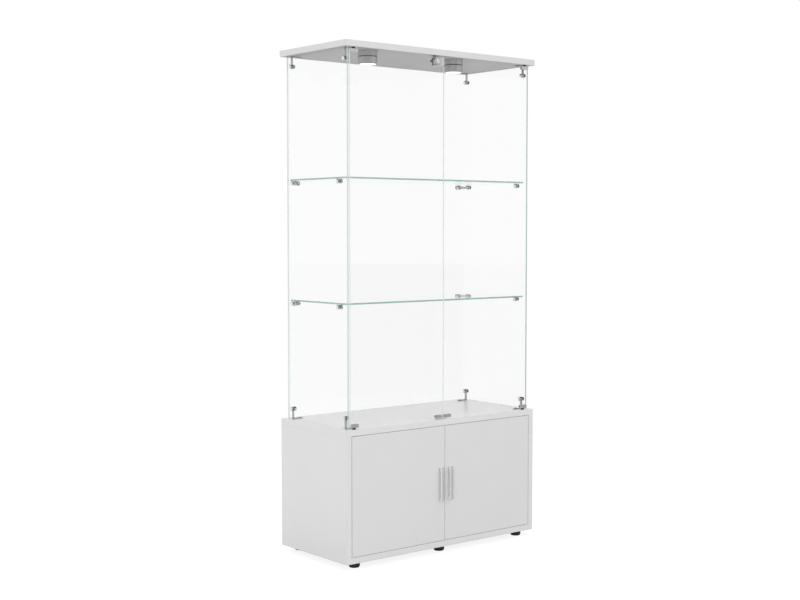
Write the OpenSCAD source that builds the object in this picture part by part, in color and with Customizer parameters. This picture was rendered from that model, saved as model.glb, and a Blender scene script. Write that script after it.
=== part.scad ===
// Display cabinet: a closed base with two hinged doors carries a glass showcase with two glass shelves,
// two glass doors on corner clamps and a canopy board with two surface lamps.
// Millimetres, front towards -Y, origin on the floor under the middle of the whole object.

/* [Overall] */
// Width of the base and of the canopy
body_w = 900; // [760:1:1200]
// Depth of the base and of the canopy
body_d = 400; // [340:1:520]
// Height of the base, from the underside of its bottom board to the face under the glass
base_h = 470; // [420:1:620]
// Height of the glass between the base and the canopy
glass_h = 1318; // [1150:1:1600]
// Thickness of the boards of the base and of the canopy
board_t = 22; // [20:1:28]
// Small chamfer on the edges of all boards
board_ease = 0.6; // [0.2:0.1:1.2]

/* [Feet] */
// Height of the feet
foot_h = 20; // [12:1:40]
// Diameter of the feet
foot_d = 40; // [30:1:50]
// Distance from the front and back of the base to the middle of a foot
foot_inset = 34; // [27:1:60]
// Distance from the inner face of a side panel to the middle of its feet
foot_side_inset = 36; // [27:1:50]
// Diameter of the stub that is pressed into the bottom board
foot_stub_d = 10; // [8:1:14]
// Length of that stub
foot_stub_h = 12; // [8:1:16]

/* [Base doors] */
// Thickness of the base doors
door_t = 18; // [16:1:22]
// Gap between a base door and the side panel
door_gap = 2; // [1.6:0.1:4]
// Gap above and below a base door
door_end_gap = 1.2; // [1:0.1:4]
// Gap between the two base doors
door_split = 1.6; // [1:0.1:6]
// Distance from the hinge edge of a door to its pivot axis
pivot_inset = 20; // [18:0.5:30]
// Distance from the front face of a door to its pivot axis
pivot_setback = 8; // [7.5:0.1:8.5]
// Diameter of the pivot pins
pivot_d = 6; // [4:0.5:7]
// Length of a pivot pin inside its bush
pivot_depth = 7; // [5:1:10]
// Outer diameter of the bushes in the boards
pivot_bush_d = 9; // [9:0.5:12]
// Length of the steel plate that carries a pivot pin
pivot_plate_l = 24; // [16:1:30]
// Width of that plate
pivot_plate_w = 12; // [10:0.5:13]
// Thickness of that plate
pivot_plate_t = 2; // [1.5:0.5:3]
// Thickness of the back panel
back_t = 4; // [3:0.5:8]
// Distance from the back edge of the boards to the back panel
back_setback = 8; // [6:1:20]
// Depth of the grooves that hold the back panel
groove_depth = 6; // [4:0.5:9]

/* [Pulls] */
// Length of a pull
pull_l = 125; // [80:1:200]
// Width of a pull, seen from the front
pull_w = 10; // [8:1:16]
// Distance from the door to the front of a pull
pull_reach = 17; // [15:0.5:40]
// Thickness of the strap of a pull
pull_strap_t = 8; // [4:0.5:9]
// Height of the foot of a pull, where its screw goes in
pull_foot_h = 13; // [10:1:20]
// Distance from the middle of the cabinet to the middle of a pull
pull_x = 21.5; // [14:0.5:40]
// Height of the middle of the pulls above the underside of the base
pull_z = 233.5; // [150:0.5:300]
// Diameter of the pull screws
pull_screw_d = 4; // [3:0.5:5]
// Diameter of the heads of the pull screws
pull_screw_head_d = 9; // [7:0.5:10]

/* [Base catches] */
// Width of a magnetic catch
catch_w = 30; // [20:1:50]
// Height of a magnetic catch
catch_h = 11; // [8:1:20]
// Depth of a magnetic catch
catch_d = 15; // [10:1:25]
// Distance from the middle of the cabinet to a catch
catch_x = 12; // [6:1:30]
// Thickness of the catch plate on the door
catch_plate_t = 1.5; // [1:0.5:3]

/* [Connector fittings] */
// Diameter of the cam locks that hold the boards together
cam_d = 15; // [12:1:20]
// Diameter of the shank of the cam bolts
cam_bolt_d = 6; // [5:0.5:8]
// Distance from the end of a board to the middle of its cam lock
cam_inset = 34; // [24:1:40]
// Distance from the front and back of the base to the cam locks
cam_y_inset = 80; // [65:1:120]
// Depth of a cam bolt in the board that it pulls on
cam_bolt_bite = 11; // [8:1:15]

/* [Showcase glass] */
// Thickness of the fixed panes, the shelves and the glass doors
glass_t = 6; // [5:0.5:8]
// Distance from the end of the canopy to the outer face of a side pane
pane_inset = 18; // [12:1:60]
// Distance from the front of the canopy to the side panes
pane_front_inset = 18; // [18:0.5:24]
// Distance from the back of the canopy to the back pane
pane_back_inset = 18.5; // [6:0.5:40]
// Gap between the back pane and the side panes
pane_gap = 0.5; // [0.3:0.1:1]
// Small chamfer on the edges of all glass
glass_ease = 0.5; // [0.2:0.1:1]

/* [Shelves] */
// Height of the underside of the lower shelf above the base
shelf_low_z = 432; // [250:1:500]
// Height of the underside of the upper shelf above the base
shelf_high_z = 870; // [600:1:1000]
// Gap between a shelf and the side panes
shelf_side_gap = 1.5; // [0.5:0.5:4]
// Gap between a shelf and the back pane
shelf_back_gap = 1; // [0.5:0.5:5]
// Gap between the front of a shelf and the path of the glass doors
shelf_door_gap = 0.8; // [0.5:0.1:20]
// Radius of the corners of a shelf
shelf_corner_r = 4; // [1:0.5:12]

/* [Shelf supports] */
// Diameter of the round shelf studs and connector bosses
stud_d = 17; // [12:0.5:22]
// Distance from the front edge of a side pane to its shelf studs
stud_inset = 54; // [40:1:90]
// Length of a shelf stud inside the showcase
stud_inner_l = 12; // [9:1:25]
// Thickness of the caps of the studs outside the glass
stud_cap_t = 5; // [3:0.5:8]
// Distance from the back pane to the side boss of a corner connector
connector_side_reach = 26; // [18:1:60]
// Distance from a side pane to the back boss of a corner connector
connector_back_reach = 32; // [22:1:70]
// Height of the strap of a corner connector
connector_strap_h = 10; // [6:1:12]
// Thickness of that strap
connector_strap_t = 2.5; // [2:0.5:4]

/* [Corner brackets] */
// Height of the bracket's bolt above the board
bracket_h = 37; // [25:1:60]
// Length of the foot of a bracket along the board
bracket_foot_l = 44; // [30:1:70]
// Width of the bracket strip
bracket_w = 10; // [8:1:14]
// Thickness of the bracket strip
bracket_t = 3; // [2:0.5:4]
// Distance from the end of a side pane to its brackets
bracket_inset = 21; // [21:0.5:40]
// Distance from the side pane to the screw in the foot
bracket_screw_reach = 30; // [20:1:36]
// Diameter of the caps and nuts of the bracket bolts
bracket_bolt_cap_d = 16; // [12:0.5:20]
// Thickness of the outer caps
bracket_bolt_cap_t = 2.5; // [2:0.5:5]
// Thickness of the nuts inside the showcase
bracket_bolt_nut_t = 11; // [6:0.5:12]
// Diameter of the screws in the bracket feet
bracket_screw_d = 4; // [3:0.5:5]
// Length of those screws in the board
bracket_screw_l = 14; // [10:1:17]

/* [Glass bolts] */
// Diameter of the shanks that pass through the glass
bolt_d = 8; // [5:0.5:9]
// Radial room around a shank in its glass hole
bolt_room = 0.5; // [0.2:0.1:1]

/* [Glass doors] */
// Distance from the front of the canopy to the glass doors
glass_door_setback = 10; // [9:0.5:12]
// Gap above and below the glass doors
glass_door_gap = 9; // [8:0.5:12]
// Gap between the two glass doors
glass_door_split = 3; // [2:0.5:6]
// Gap between a glass door and the side pane
glass_door_side_gap = 1; // [0.9:0.1:3]
// Distance from the hinge edge of a glass door to its pivot axis
clamp_pivot_inset = 17.5; // [17.5:0.1:18]
// Width of the corner clamps
clamp_w = 34; // [26:1:34]
// Height of the corner clamps
clamp_h = 15; // [12:0.5:24]
// Thickness of the corner clamps
clamp_t = 9; // [9:0.5:10]
// Thickness of a clamp beyond the edge of the glass
clamp_web_t = 3.5; // [2:0.5:5]
// Diameter of the pivot pins of the clamps
clamp_pin_d = 6; // [4:0.5:7]
// Diameter of the black bushes between the clamps and the boards
clamp_bush_d = 12; // [10:0.5:16]
// Depth of the bush spigot and its pin in the board
clamp_bush_depth = 10; // [6:1:14]
// Width of the plates at the lower inner corners of the glass doors
strike_w = 30.5; // [20:0.5:45]
// Distance from the middle of the cabinet to these plates
strike_x = 6.5; // [3:0.5:14]
// Width of the magnet block behind the plates
glass_magnet_w = 40; // [30:1:60]
// Depth of the magnet block
glass_magnet_d = 16; // [10:1:30]

/* [Lock] */
// Width of the lock case
lock_w = 48; // [44:1:60]
// Height of the lock case
lock_h = 30; // [28:1:40]
// Thickness of the lock case in front of the glass
lock_front_t = 6; // [4:0.5:7]
// Thickness of the lock case behind the glass
lock_back_t = 4; // [3:0.5:5]
// Diameter of the rim around the lock cylinder
lock_rim_d = 32; // [24:1:32]
// Thickness of that rim
lock_rim_t = 4; // [2:0.5:6]
// Diameter of the turning cylinder
lock_plug_d = 16; // [12:0.5:18]
// Distance from the middle of the cabinet to the cylinder
lock_x = 37; // [34:0.5:40]
// Distance from the canopy down to the cylinder
lock_drop = 20; // [19:0.5:22]
// Distance from the cylinder's axis to the tip of the cam
cam_reach = 16.5; // [14:0.5:17]
// Width of the lock cam
lock_cam_w = 10; // [7:0.5:11]
// Thickness of the lock cam
lock_cam_t = 3; // [2:0.5:4]
// Thickness of the strike tab under the canopy
tab_t = 2; // [1.5:0.5:3]
// Drop of the strike tab below the canopy
tab_drop = 9; // [7:0.5:10]

/* [Lamps] */
// Distance from the middle of the cabinet to the left lamp
lamp_left_x = 308; // [150:1:320]
// Distance between the two lamps
lamp_pitch = 400; // [200:1:450]
// Distance from the front of the canopy to the middle of the lamps
lamp_inset = 62; // [56:1:200]
// Diameter of a lamp
lamp_d = 69; // [50:0.5:90]
// Height of the upper part of a lamp
lamp_body_h = 20.5; // [10:0.5:40]
// Height of the groove between the two parts
lamp_groove_h = 1.2; // [0.6:0.1:3]
// Depth of that groove
lamp_groove_depth = 2; // [1:0.5:4]
// Height of the lower ring of a lamp
lamp_ring_h = 26; // [15:0.5:40]
// Width of the rim around the lens
lamp_rim = 3.4; // [2:0.2:8]
// Thickness of the lens
lamp_lens_t = 2; // [1:0.5:4]

/* [Fits] */
// Radial gap of pieces that are pressed or screwed together
fit = 0.05; // [0.02:0.01:0.1]
// Radial gap of the turning pins
run_fit = 0.05; // [0.02:0.01:0.1]
// Gap under a turning piece that rests on its bush, and in front of a magnet
seat_gap = 0.3; // [0.2:0.05:0.5]

/* [Hidden] */
$fn = 48;

// Overshoot of every cutting shape past the surface that it cuts
over = 1;

// Heights above the floor
base_z0 = foot_h;
base_z1 = base_z0 + base_h;
top_board_z0 = base_z1 - board_t;
bottom_board_z1 = base_z0 + board_t;
canopy_z0 = base_z1 + glass_h;
canopy_z1 = canopy_z0 + board_t;

// The pulls stand out in front, so the boards lie behind the middle of the whole depth
back_y = (body_d + pull_reach) / 2;
front_y = back_y - body_d;
side_x1 = body_w / 2;
side_x0 = side_x1 - board_t;

// Feet
foot_xs = [foot_side_inset - side_x0, 0, side_x0 - foot_side_inset];
foot_ys = [front_y + foot_inset, back_y - foot_inset];

// Base doors
door_x0 = door_split / 2;
door_x1 = side_x0 - door_gap;
door_y1 = front_y + door_t;
door_z0 = bottom_board_z1 + door_end_gap;
door_z1 = top_board_z0 - door_end_gap;
pivot_x = door_x1 - pivot_inset;
pivot_y = front_y + pivot_setback;
pivot_bush_depth = pivot_depth + 1;
pivot_bush_bore = pivot_bush_d + 2 * fit;
pivot_flange_d = pivot_bush_d + 4;
pull_mid_z = base_z0 + pull_z;
pull_screw_dz = (pull_l - pull_foot_h) / 2;
pull_screw_bite = pull_reach - pull_strap_t;
pull_screw_bore = pull_screw_d + 2 * fit;
pull_screw_zs = [pull_mid_z - pull_screw_dz, pull_mid_z + pull_screw_dz];
catch_z0 = top_board_z0 - catch_h;
catch_z1 = door_z1 - 1;
back_panel_y1 = back_y - back_setback;
back_panel_y0 = back_panel_y1 - back_t;

// Connector fittings
cam_axis_depth = board_t / 2;
cam_x = side_x0 + cam_axis_depth;
cam_z = base_z0 + cam_axis_depth;
cam_t = cam_axis_depth + cam_bolt_d / 2 + 0.5;
cam_ys = [front_y + cam_y_inset, back_y - cam_y_inset];
cam_bolt_bore = cam_bolt_d + 2 * fit;

// Showcase
pane_x1 = side_x1 - pane_inset;
pane_x0 = pane_x1 - glass_t;
pane_y0 = front_y + pane_front_inset;
pane_y1 = back_y - pane_back_inset;
back_pane_y0 = pane_y1 - glass_t;
bolt_hole_d = bolt_d + 2 * bolt_room;
bolt_bore = bolt_d + 2 * fit;
bracket_screw_bore = bracket_screw_d + 2 * fit;
screw_depth = bracket_screw_l + fit;
bracket_screw_x = pane_x0 - bracket_screw_reach;
bracket_ys = [pane_y0 + bracket_inset, pane_y1 - bracket_inset];
bracket_zs = [base_z1 + bracket_h, canopy_z0 - bracket_h];
shelf_zs = [base_z1 + shelf_low_z, base_z1 + shelf_high_z];
stud_drop = stud_d / 2 + 0.2;
stud_y = pane_y0 + stud_inset;
connector_y = back_pane_y0 - connector_side_reach;
connector_x = pane_x0 - connector_back_reach;

// Glass doors
glass_door_x0 = glass_door_split / 2;
glass_door_x1 = pane_x0 - glass_door_side_gap;
glass_door_y0 = front_y + glass_door_setback;
glass_door_y1 = glass_door_y0 + glass_t;
glass_door_y = (glass_door_y0 + glass_door_y1) / 2;
glass_door_z0 = base_z1 + glass_door_gap;
glass_door_z1 = canopy_z0 - glass_door_gap;
clamp_x = glass_door_x1 - clamp_pivot_inset;
clamp_y0 = glass_door_y - clamp_t / 2;
clamp_y1 = glass_door_y + clamp_t / 2;
clamp_z0 = glass_door_z0 - clamp_web_t;
clamp_gap = clamp_z0 - base_z1;
clamp_spigot_d = clamp_pin_d + 3;
clamp_spigot_bore = clamp_spigot_d + 2 * fit;
clamp_spigot_z0 = base_z1 - clamp_bush_depth;
clamp_pin_hole_z0 = clamp_spigot_z0 + 1;
door_path_r = sqrt(pow(clamp_pivot_inset, 2) + pow(glass_t / 2, 2));
shelf_y0 = glass_door_y + door_path_r + shelf_door_gap;

// Lock
lock_z = canopy_z0 - lock_drop;
lock_z1 = glass_door_z1 + clamp_web_t;
lock_z0 = lock_z1 - lock_h;
lock_front_y = glass_door_y0 - lock_front_t;
lock_rim_y = lock_front_y - lock_rim_t;
lock_back_y = glass_door_y1 + lock_back_t;
lock_x1 = -glass_door_x0 - 0.5;
lock_x0 = lock_x1 - lock_w;
lock_notch_d = lock_plug_d + 6;
tab_y0 = lock_back_y + seat_gap;
tab_y1 = tab_y0 + tab_t;
cam_y0 = tab_y1 + seat_gap;
cam_y1 = cam_y0 + lock_cam_t;

// Lamps
lamp_y = front_y + lamp_inset;
lamp_body_z0 = canopy_z0 - lamp_body_h;
lamp_ring_z1 = lamp_body_z0 - lamp_groove_h;
lamp_ring_z0 = lamp_ring_z1 - lamp_ring_h;
lamp_neck_d = lamp_d - 2 * lamp_groove_depth;
lamp_neck_z0 = lamp_ring_z1 - 6;
lamp_lens_d = lamp_d - 2 * lamp_rim;
lamp_lens_z0 = lamp_ring_z0 + 1;

// Finishes
board_grey = [0.84, 0.84, 0.85];
back_grey = [0.78, 0.78, 0.79];
glass_green = [0.80, 0.90, 0.88, 0.35];
satin_metal = [0.66, 0.66, 0.67];
bright_metal = [0.82, 0.82, 0.83];
dark_plastic = [0.12, 0.12, 0.13];
zinc = [0.70, 0.70, 0.68];
lamp_grey = [0.62, 0.62, 0.63];
lens_white = [1.0, 1.0, 0.96];

// Places the children on the other side of the cabinet's middle plane
module on_left() {
    mirror([1, 0, 0]) children();
}

// Turns what stands on the base upside down under the canopy
module under_canopy() {
    translate([0, 0, base_z1 + canopy_z0]) mirror([0, 0, 1]) children();
}

// Draws the children for the right side and again for the left side
module both_sides() {
    children();
    on_left() children();
}

// Box given by its limits along each axis
module block(x, y, z) {
    translate([x[0], y[0], z[0]]) cube([x[1] - x[0], y[1] - y[0], z[1] - z[0]]);
}

// Rectangle with cut corners
module eased_rect(w, h, e) {
    polygon([[e, 0], [w - e, 0], [w, e], [w, h - e], [w - e, h], [e, h], [0, h - e], [0, e]]);
}

// Box with a small chamfer on all twelve edges
module eased_block(x, y, z, e) {
    w = x[1] - x[0];
    d = y[1] - y[0];
    h = z[1] - z[0];
    translate([x[0], y[0], z[0]]) intersection() {
        linear_extrude(h) eased_rect(w, d, e);
        translate([0, d, 0]) rotate([90, 0, 0]) linear_extrude(d) eased_rect(w, h, e);
        rotate([90, 0, 90]) linear_extrude(w) eased_rect(d, h, e);
    }
}

// Rectangle with round corners
module round_rect(x0, x1, y0, y1, r) {
    translate([x0 + r, y0]) square([x1 - x0 - 2 * r, y1 - y0]);
    translate([x0, y0 + r]) square([x1 - x0, y1 - y0 - 2 * r]);
    for (x = [x0 + r, x1 - r], y = [y0 + r, y1 - r]) translate([x, y]) circle(r);
}

// Round bars along each axis
module rod_x(x, y, z, d) {
    translate([x[0], y, z]) rotate([0, 90, 0]) cylinder(h = x[1] - x[0], d = d);
}

module rod_y(x, y, z, d) {
    translate([x, y[0], z]) rotate([-90, 0, 0]) cylinder(h = y[1] - y[0], d = d);
}

module rod_z(x, y, z, d) {
    translate([x, y, z[0]]) cylinder(h = z[1] - z[0], d = d);
}

// Round button with its flat face at z = 0 and a rounded rim above
module button(d, t, r) {
    rotate_extrude() {
        square([d / 2 - r, t]);
        square([d / 2, t - r]);
        translate([d / 2 - r, t - r]) circle(r);
    }
}

// Bolt through glass along +X: cap outside at x = 0, shank inwards, and a round nut past the grip
module glass_bolt(d, cap_t, grip, nut_t) {
    cap_round = min(1, cap_t / 2);
    nut_floor = 2;
    tip_x = nut_floor - grip - nut_t;
    rotate([0, 90, 0]) button(d, cap_t, cap_round);
    rod_x([tip_x, cap_round], 0, 0, bolt_d);
    difference() {
        translate([-grip, 0, 0]) rotate([0, -90, 0]) button(d, nut_t, 1);
        rod_x([tip_x - fit, over - grip], 0, 0, bolt_bore);
    }
}

// Base boards
// Right side panel, with its back groove and the bores of its cam fittings
module side_panel() {
    difference() {
        eased_block([side_x0, side_x1], [front_y, back_y], [base_z0, top_board_z0], board_ease);
        block([side_x0 - over, side_x0 + groove_depth], [back_panel_y0 - fit, back_panel_y1 + fit],
            [base_z0 - over, top_board_z0 + over]);
        for (y = cam_ys) {
            rod_x([side_x0 - over, side_x0 + cam_t], y, top_board_z0 - cam_inset, cam_d + 2 * fit);
            rod_z(cam_x, y, [top_board_z0 - cam_inset, top_board_z0 + over], cam_bolt_bore);
            rod_x([side_x0 - over, side_x0 + cam_bolt_bite + fit], y, cam_z, cam_bolt_bore);
        }
    }
}

module base_side_right() {
    color(board_grey) side_panel();
}

module base_side_left() {
    color(board_grey) on_left() side_panel();
}

// Top board of the base, with the bores of bolts, bushes, bracket screws and the groove of the back panel
module base_top_board() {
    color(board_grey) difference() {
        eased_block([-side_x1, side_x1], [front_y, back_y], [top_board_z0, base_z1], board_ease);
        block([-side_x0 - groove_depth, side_x0 + groove_depth], [back_panel_y0 - fit, back_panel_y1 + fit],
            [top_board_z0 - over, top_board_z0 + groove_depth]);
        both_sides() {
            for (y = cam_ys) {
                rod_z(cam_x, y, [top_board_z0 - over, top_board_z0 + cam_bolt_bite + fit], cam_bolt_bore);
            }
            rod_z(pivot_x, pivot_y, [top_board_z0 - over, top_board_z0 + pivot_bush_depth], pivot_bush_bore);
            rod_z(clamp_x, glass_door_y, [clamp_spigot_z0, base_z1 + over], clamp_spigot_bore);
            for (y = bracket_ys) {
                rod_z(bracket_screw_x, y, [base_z1 - screw_depth, base_z1 + over], bracket_screw_bore);
            }
        }
    }
}

// Bottom board between the side panels
module base_bottom_board() {
    color(board_grey) difference() {
        eased_block([-side_x0, side_x0], [front_y, back_y], [base_z0, bottom_board_z1], board_ease);
        block([-side_x0 - over, side_x0 + over], [back_panel_y0 - fit, back_panel_y1 + fit],
            [bottom_board_z1 - groove_depth, bottom_board_z1 + over]);
        for (x = foot_xs, y = foot_ys) {
            rod_z(x, y, [base_z0 - over, base_z0 + foot_stub_h + fit], foot_stub_d + 2 * fit);
        }
        both_sides() {
            for (y = cam_ys) {
                rod_z(side_x0 - cam_inset, y, [base_z0 - over, base_z0 + cam_t], cam_d + 2 * fit);
                rod_x([side_x0 - cam_inset, side_x0 + over], y, cam_z, cam_bolt_bore);
            }
            rod_z(pivot_x, pivot_y, [bottom_board_z1 - pivot_bush_depth, bottom_board_z1 + over],
                pivot_bush_bore);
        }
    }
}

// Thin panel in the grooves behind the base
module base_back_panel() {
    play = 0.2;
    color(back_grey) block([play - side_x0 - groove_depth, side_x0 + groove_depth - play],
        [back_panel_y0, back_panel_y1],
        [bottom_board_z1 - groove_depth + play, top_board_z0 + groove_depth - play]);
}

// Round feet with a pressed-in stub
module foot_row(y) {
    foot_round = 2;
    color(dark_plastic) for (x = foot_xs) {
        translate([x, y, foot_h]) mirror([0, 0, 1]) button(foot_d, foot_h, foot_round);
        rod_z(x, y, [foot_h - foot_round, foot_h + foot_stub_h], foot_stub_d);
    }
}

module front_feet() {
    foot_row(foot_ys[0]);
}

module back_feet() {
    foot_row(foot_ys[1]);
}

// Cam lock: a disc with a cross slot on its face and a side bore that takes the head of the cam bolt
module cam_lock() {
    slot_l = 2 / 3 * cam_d;
    slot_w = 1.6;
    slot_depth = 2;
    difference() {
        cylinder(h = cam_t, d = cam_d);
        for (turn = [0, 90]) {
            rotate([0, 0, turn])
                block([-slot_l / 2, slot_l / 2], [-slot_w / 2, slot_w / 2], [-over, slot_depth]);
        }
        rod_x([-cam_bolt_d / 2, cam_d], 0, cam_axis_depth, cam_bolt_bore);
    }
}

// Cam bolt along +X from the middle of its cam lock: head, neck and shank
module cam_bolt() {
    head_l = 2.5;
    neck_l = 5;
    rod_x([0, head_l], 0, 0, cam_bolt_d);
    rod_x([0, head_l + neck_l], 0, 0, cam_bolt_d / 2);
    rod_x([head_l + neck_l, cam_inset + cam_bolt_bite], 0, 0, cam_bolt_d);
}

module cam_locks() {
    color(zinc) both_sides() for (y = cam_ys) {
        translate([side_x0, y, top_board_z0 - cam_inset]) rotate([0, 90, 0]) rotate([0, 0, 180]) cam_lock();
        translate([side_x0 - cam_inset, y, base_z0]) cam_lock();
    }
}

module cam_bolts() {
    color(zinc) both_sides() for (y = cam_ys) {
        translate([cam_x, y, top_board_z0 - cam_inset]) rotate([0, -90, 0]) cam_bolt();
        translate([side_x0 - cam_inset, y, cam_z]) cam_bolt();
    }
}

// Base doors, drawn closed for the right side
module door_board() {
    difference() {
        eased_block([door_x0, door_x1], [front_y, door_y1], [door_z0, door_z1], board_ease);
        for (z = [[door_z0 - over, door_z0 + pivot_plate_t], [door_z1 - pivot_plate_t, door_z1 + over]]) {
            block([pivot_x - pivot_plate_l / 2 - fit, pivot_x + pivot_plate_l / 2 + fit],
                [pivot_y - pivot_plate_w / 2 - fit, pivot_y + pivot_plate_w / 2 + fit], z);
        }
        for (z = pull_screw_zs) rod_y(pull_x, [front_y - over, door_y1 + over], z, pull_screw_bore);
    }
}

module base_door_right() {
    color(board_grey) door_board();
}

module base_door_left() {
    color(board_grey) on_left() door_board();
}

// Steel plates in the top and bottom edges of a door, each with its pivot pin
module pivot_plates() {
    pin_l = door_end_gap + pivot_depth;
    plate_x = [pivot_x - pivot_plate_l / 2, pivot_x + pivot_plate_l / 2];
    plate_y = [pivot_y - pivot_plate_w / 2, pivot_y + pivot_plate_w / 2];
    color(zinc) {
        block(plate_x, plate_y, [door_z0, door_z0 + pivot_plate_t]);
        rod_z(pivot_x, pivot_y, [door_z0 - pin_l, door_z0 + pivot_plate_t], pivot_d);
        block(plate_x, plate_y, [door_z1 - pivot_plate_t, door_z1]);
        rod_z(pivot_x, pivot_y, [door_z1 - pivot_plate_t, door_z1 + pin_l], pivot_d);
    }
}

module pivot_plates_right() {
    pivot_plates();
}

module pivot_plates_left() {
    on_left() pivot_plates();
}

// Flanged bush, standing in a board with its flange at z = 0 and upwards
module pivot_bush() {
    flange_t = door_end_gap - seat_gap;
    difference() {
        union() {
            rod_z(0, 0, [0, flange_t], pivot_flange_d);
            rod_z(0, 0, [-pivot_bush_depth, flange_t], pivot_bush_d);
        }
        rod_z(0, 0, [-pivot_depth - run_fit, flange_t + over], pivot_d + 2 * run_fit);
    }
}

module base_door_bushes() {
    color(dark_plastic) both_sides() {
        translate([pivot_x, pivot_y, bottom_board_z1]) pivot_bush();
        translate([pivot_x, pivot_y, top_board_z0]) mirror([0, 0, 1]) pivot_bush();
    }
}

// Bow pull: a strap with round outer corners on two feet, with a finger gap behind it
module pull() {
    outer_r = 9;
    inner_r = 4;
    end_r = 2.5;
    x0 = pull_x - pull_w / 2;
    door_end = front_y + outer_r;
    difference() {
        intersection() {
            translate([x0, 0, pull_mid_z]) rotate([90, 0, 90]) linear_extrude(pull_w) difference() {
                round_rect(front_y - pull_reach, door_end, -pull_l / 2, pull_l / 2, outer_r);
                round_rect(front_y - pull_reach + pull_strap_t, door_end,
                    pull_foot_h - pull_l / 2, pull_l / 2 - pull_foot_h, inner_r);
                translate([front_y, -pull_l]) square([pull_l, 2 * pull_l]);
            }
            translate([0, front_y + over, pull_mid_z]) rotate([90, 0, 0])
                linear_extrude(pull_reach + 2 * over)
                    round_rect(x0, x0 + pull_w, -pull_l / 2, pull_l / 2, end_r);
        }
        for (z = pull_screw_zs) {
            rod_y(pull_x, [front_y - pull_screw_bite - fit, front_y + over], z, pull_screw_bore);
        }
    }
}

module pull_right() {
    color(satin_metal) pull();
}

module pull_left() {
    color(satin_metal) on_left() pull();
}

// Pan-head screws from inside the door into the feet of the pull
module pull_screws() {
    head_t = 2.5;
    color(zinc) for (z = pull_screw_zs) {
        translate([pull_x, door_y1, z]) rotate([-90, 0, 0]) button(pull_screw_head_d, head_t, 1.2);
        rod_y(pull_x, [front_y - pull_screw_bite, door_y1 + head_t / 2], z, pull_screw_d);
    }
}

module pull_screws_right() {
    pull_screws();
}

module pull_screws_left() {
    on_left() pull_screws();
}

// Catch plate on the inner face of a door, and the magnet under the top board that holds it
module catch_plate() {
    color(zinc) eased_block([catch_x, catch_x + catch_w], [door_y1, door_y1 + catch_plate_t],
        [catch_z0, catch_z1], 0.3);
}

module catch_plate_right() {
    catch_plate();
}

module catch_plate_left() {
    on_left() catch_plate();
}

module base_door_magnets() {
    magnet_y0 = door_y1 + catch_plate_t + seat_gap;
    color(dark_plastic) both_sides() eased_block([catch_x, catch_x + catch_w],
        [magnet_y0, magnet_y0 + catch_d], [catch_z0, top_board_z0], 0.5);
}

// Fixed glass, drawn for the right side
module side_pane() {
    difference() {
        eased_block([pane_x0, pane_x1], [pane_y0, pane_y1], [base_z1, canopy_z0], glass_ease);
        for (y = bracket_ys, z = bracket_zs) rod_x([pane_x0 - over, pane_x1 + over], y, z, bolt_hole_d);
        for (z = shelf_zs, y = [stud_y, connector_y]) {
            rod_x([pane_x0 - over, pane_x1 + over], y, z - stud_drop, bolt_hole_d);
        }
    }
}

module glass_side_right() {
    color(glass_green) side_pane();
}

module glass_side_left() {
    color(glass_green) on_left() side_pane();
}

module glass_back() {
    color(glass_green) difference() {
        eased_block([pane_gap - pane_x0, pane_x0 - pane_gap], [back_pane_y0, pane_y1], [base_z1, canopy_z0],
            glass_ease);
        both_sides() for (z = shelf_zs) {
            rod_y(connector_x, [back_pane_y0 - over, pane_y1 + over], z - stud_drop, bolt_hole_d);
        }
    }
}

// Glass shelf with round corners and eased edges
module shelf(z) {
    x1 = pane_x0 - shelf_side_gap;
    y1 = back_pane_y0 - shelf_back_gap;
    color(glass_green) translate([0, 0, z]) linear_extrude(glass_t)
        round_rect(-x1, x1, shelf_y0, y1, shelf_corner_r);
}

module shelf_lower() {
    shelf(shelf_zs[0]);
}

module shelf_upper() {
    shelf(shelf_zs[1]);
}

// Canopy board, with the bores of bushes and screws on its underside
module canopy() {
    color(board_grey) difference() {
        eased_block([-side_x1, side_x1], [front_y, back_y], [canopy_z0, canopy_z1], board_ease);
        both_sides() {
            rod_z(clamp_x, glass_door_y, [canopy_z0 - over, canopy_z0 + clamp_bush_depth], clamp_spigot_bore);
            for (y = bracket_ys) {
                rod_z(bracket_screw_x, y, [canopy_z0 - over, canopy_z0 + screw_depth], bracket_screw_bore);
            }
        }
    }
}

// Outline of a strip bent square, with its foot along -X, its leg along +Y and a round corner
module bent_strip(foot, leg, t) {
    bend_r = t + 1;
    difference() {
        union() {
            translate([-t, 0]) square([t, leg]);
            translate([-foot, 0]) square([foot, t]);
            translate([-bend_r, 0]) square(bend_r);
        }
        translate([-bend_r, 0]) difference() {
            square([bend_r + over, bend_r]);
            translate([0, bend_r]) circle(bend_r);
        }
        translate([-bend_r, bend_r]) circle(bend_r - t);
    }
}

// Corner brackets
// Bent strip on the base against the right side pane, with a round eye for the glass bolt
module bracket() {
    difference() {
        union() {
            translate([pane_x0, bracket_w / 2, base_z1]) rotate([90, 0, 0]) linear_extrude(bracket_w)
                bent_strip(bracket_foot_l - bracket_w / 2, bracket_h, bracket_t);
            rod_z(pane_x0 - bracket_foot_l + bracket_w / 2, 0, [base_z1, base_z1 + bracket_t], bracket_w);
            rod_x([pane_x0 - bracket_t, pane_x0], 0, base_z1 + bracket_h, bracket_bolt_cap_d);
        }
        rod_x([pane_x0 - bracket_t - over, pane_x0 + over], 0, base_z1 + bracket_h, bolt_bore);
        rod_z(bracket_screw_x, 0, [base_z1 - over, base_z1 + bracket_t + over], bracket_screw_bore);
    }
}

module bracket_pair() {
    color(satin_metal) for (y = bracket_ys) translate([0, y, 0]) bracket();
}

module brackets_bottom_right() {
    bracket_pair();
}

module brackets_bottom_left() {
    on_left() bracket_pair();
}

module brackets_top_right() {
    under_canopy() bracket_pair();
}

module brackets_top_left() {
    under_canopy() on_left() bracket_pair();
}

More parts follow.
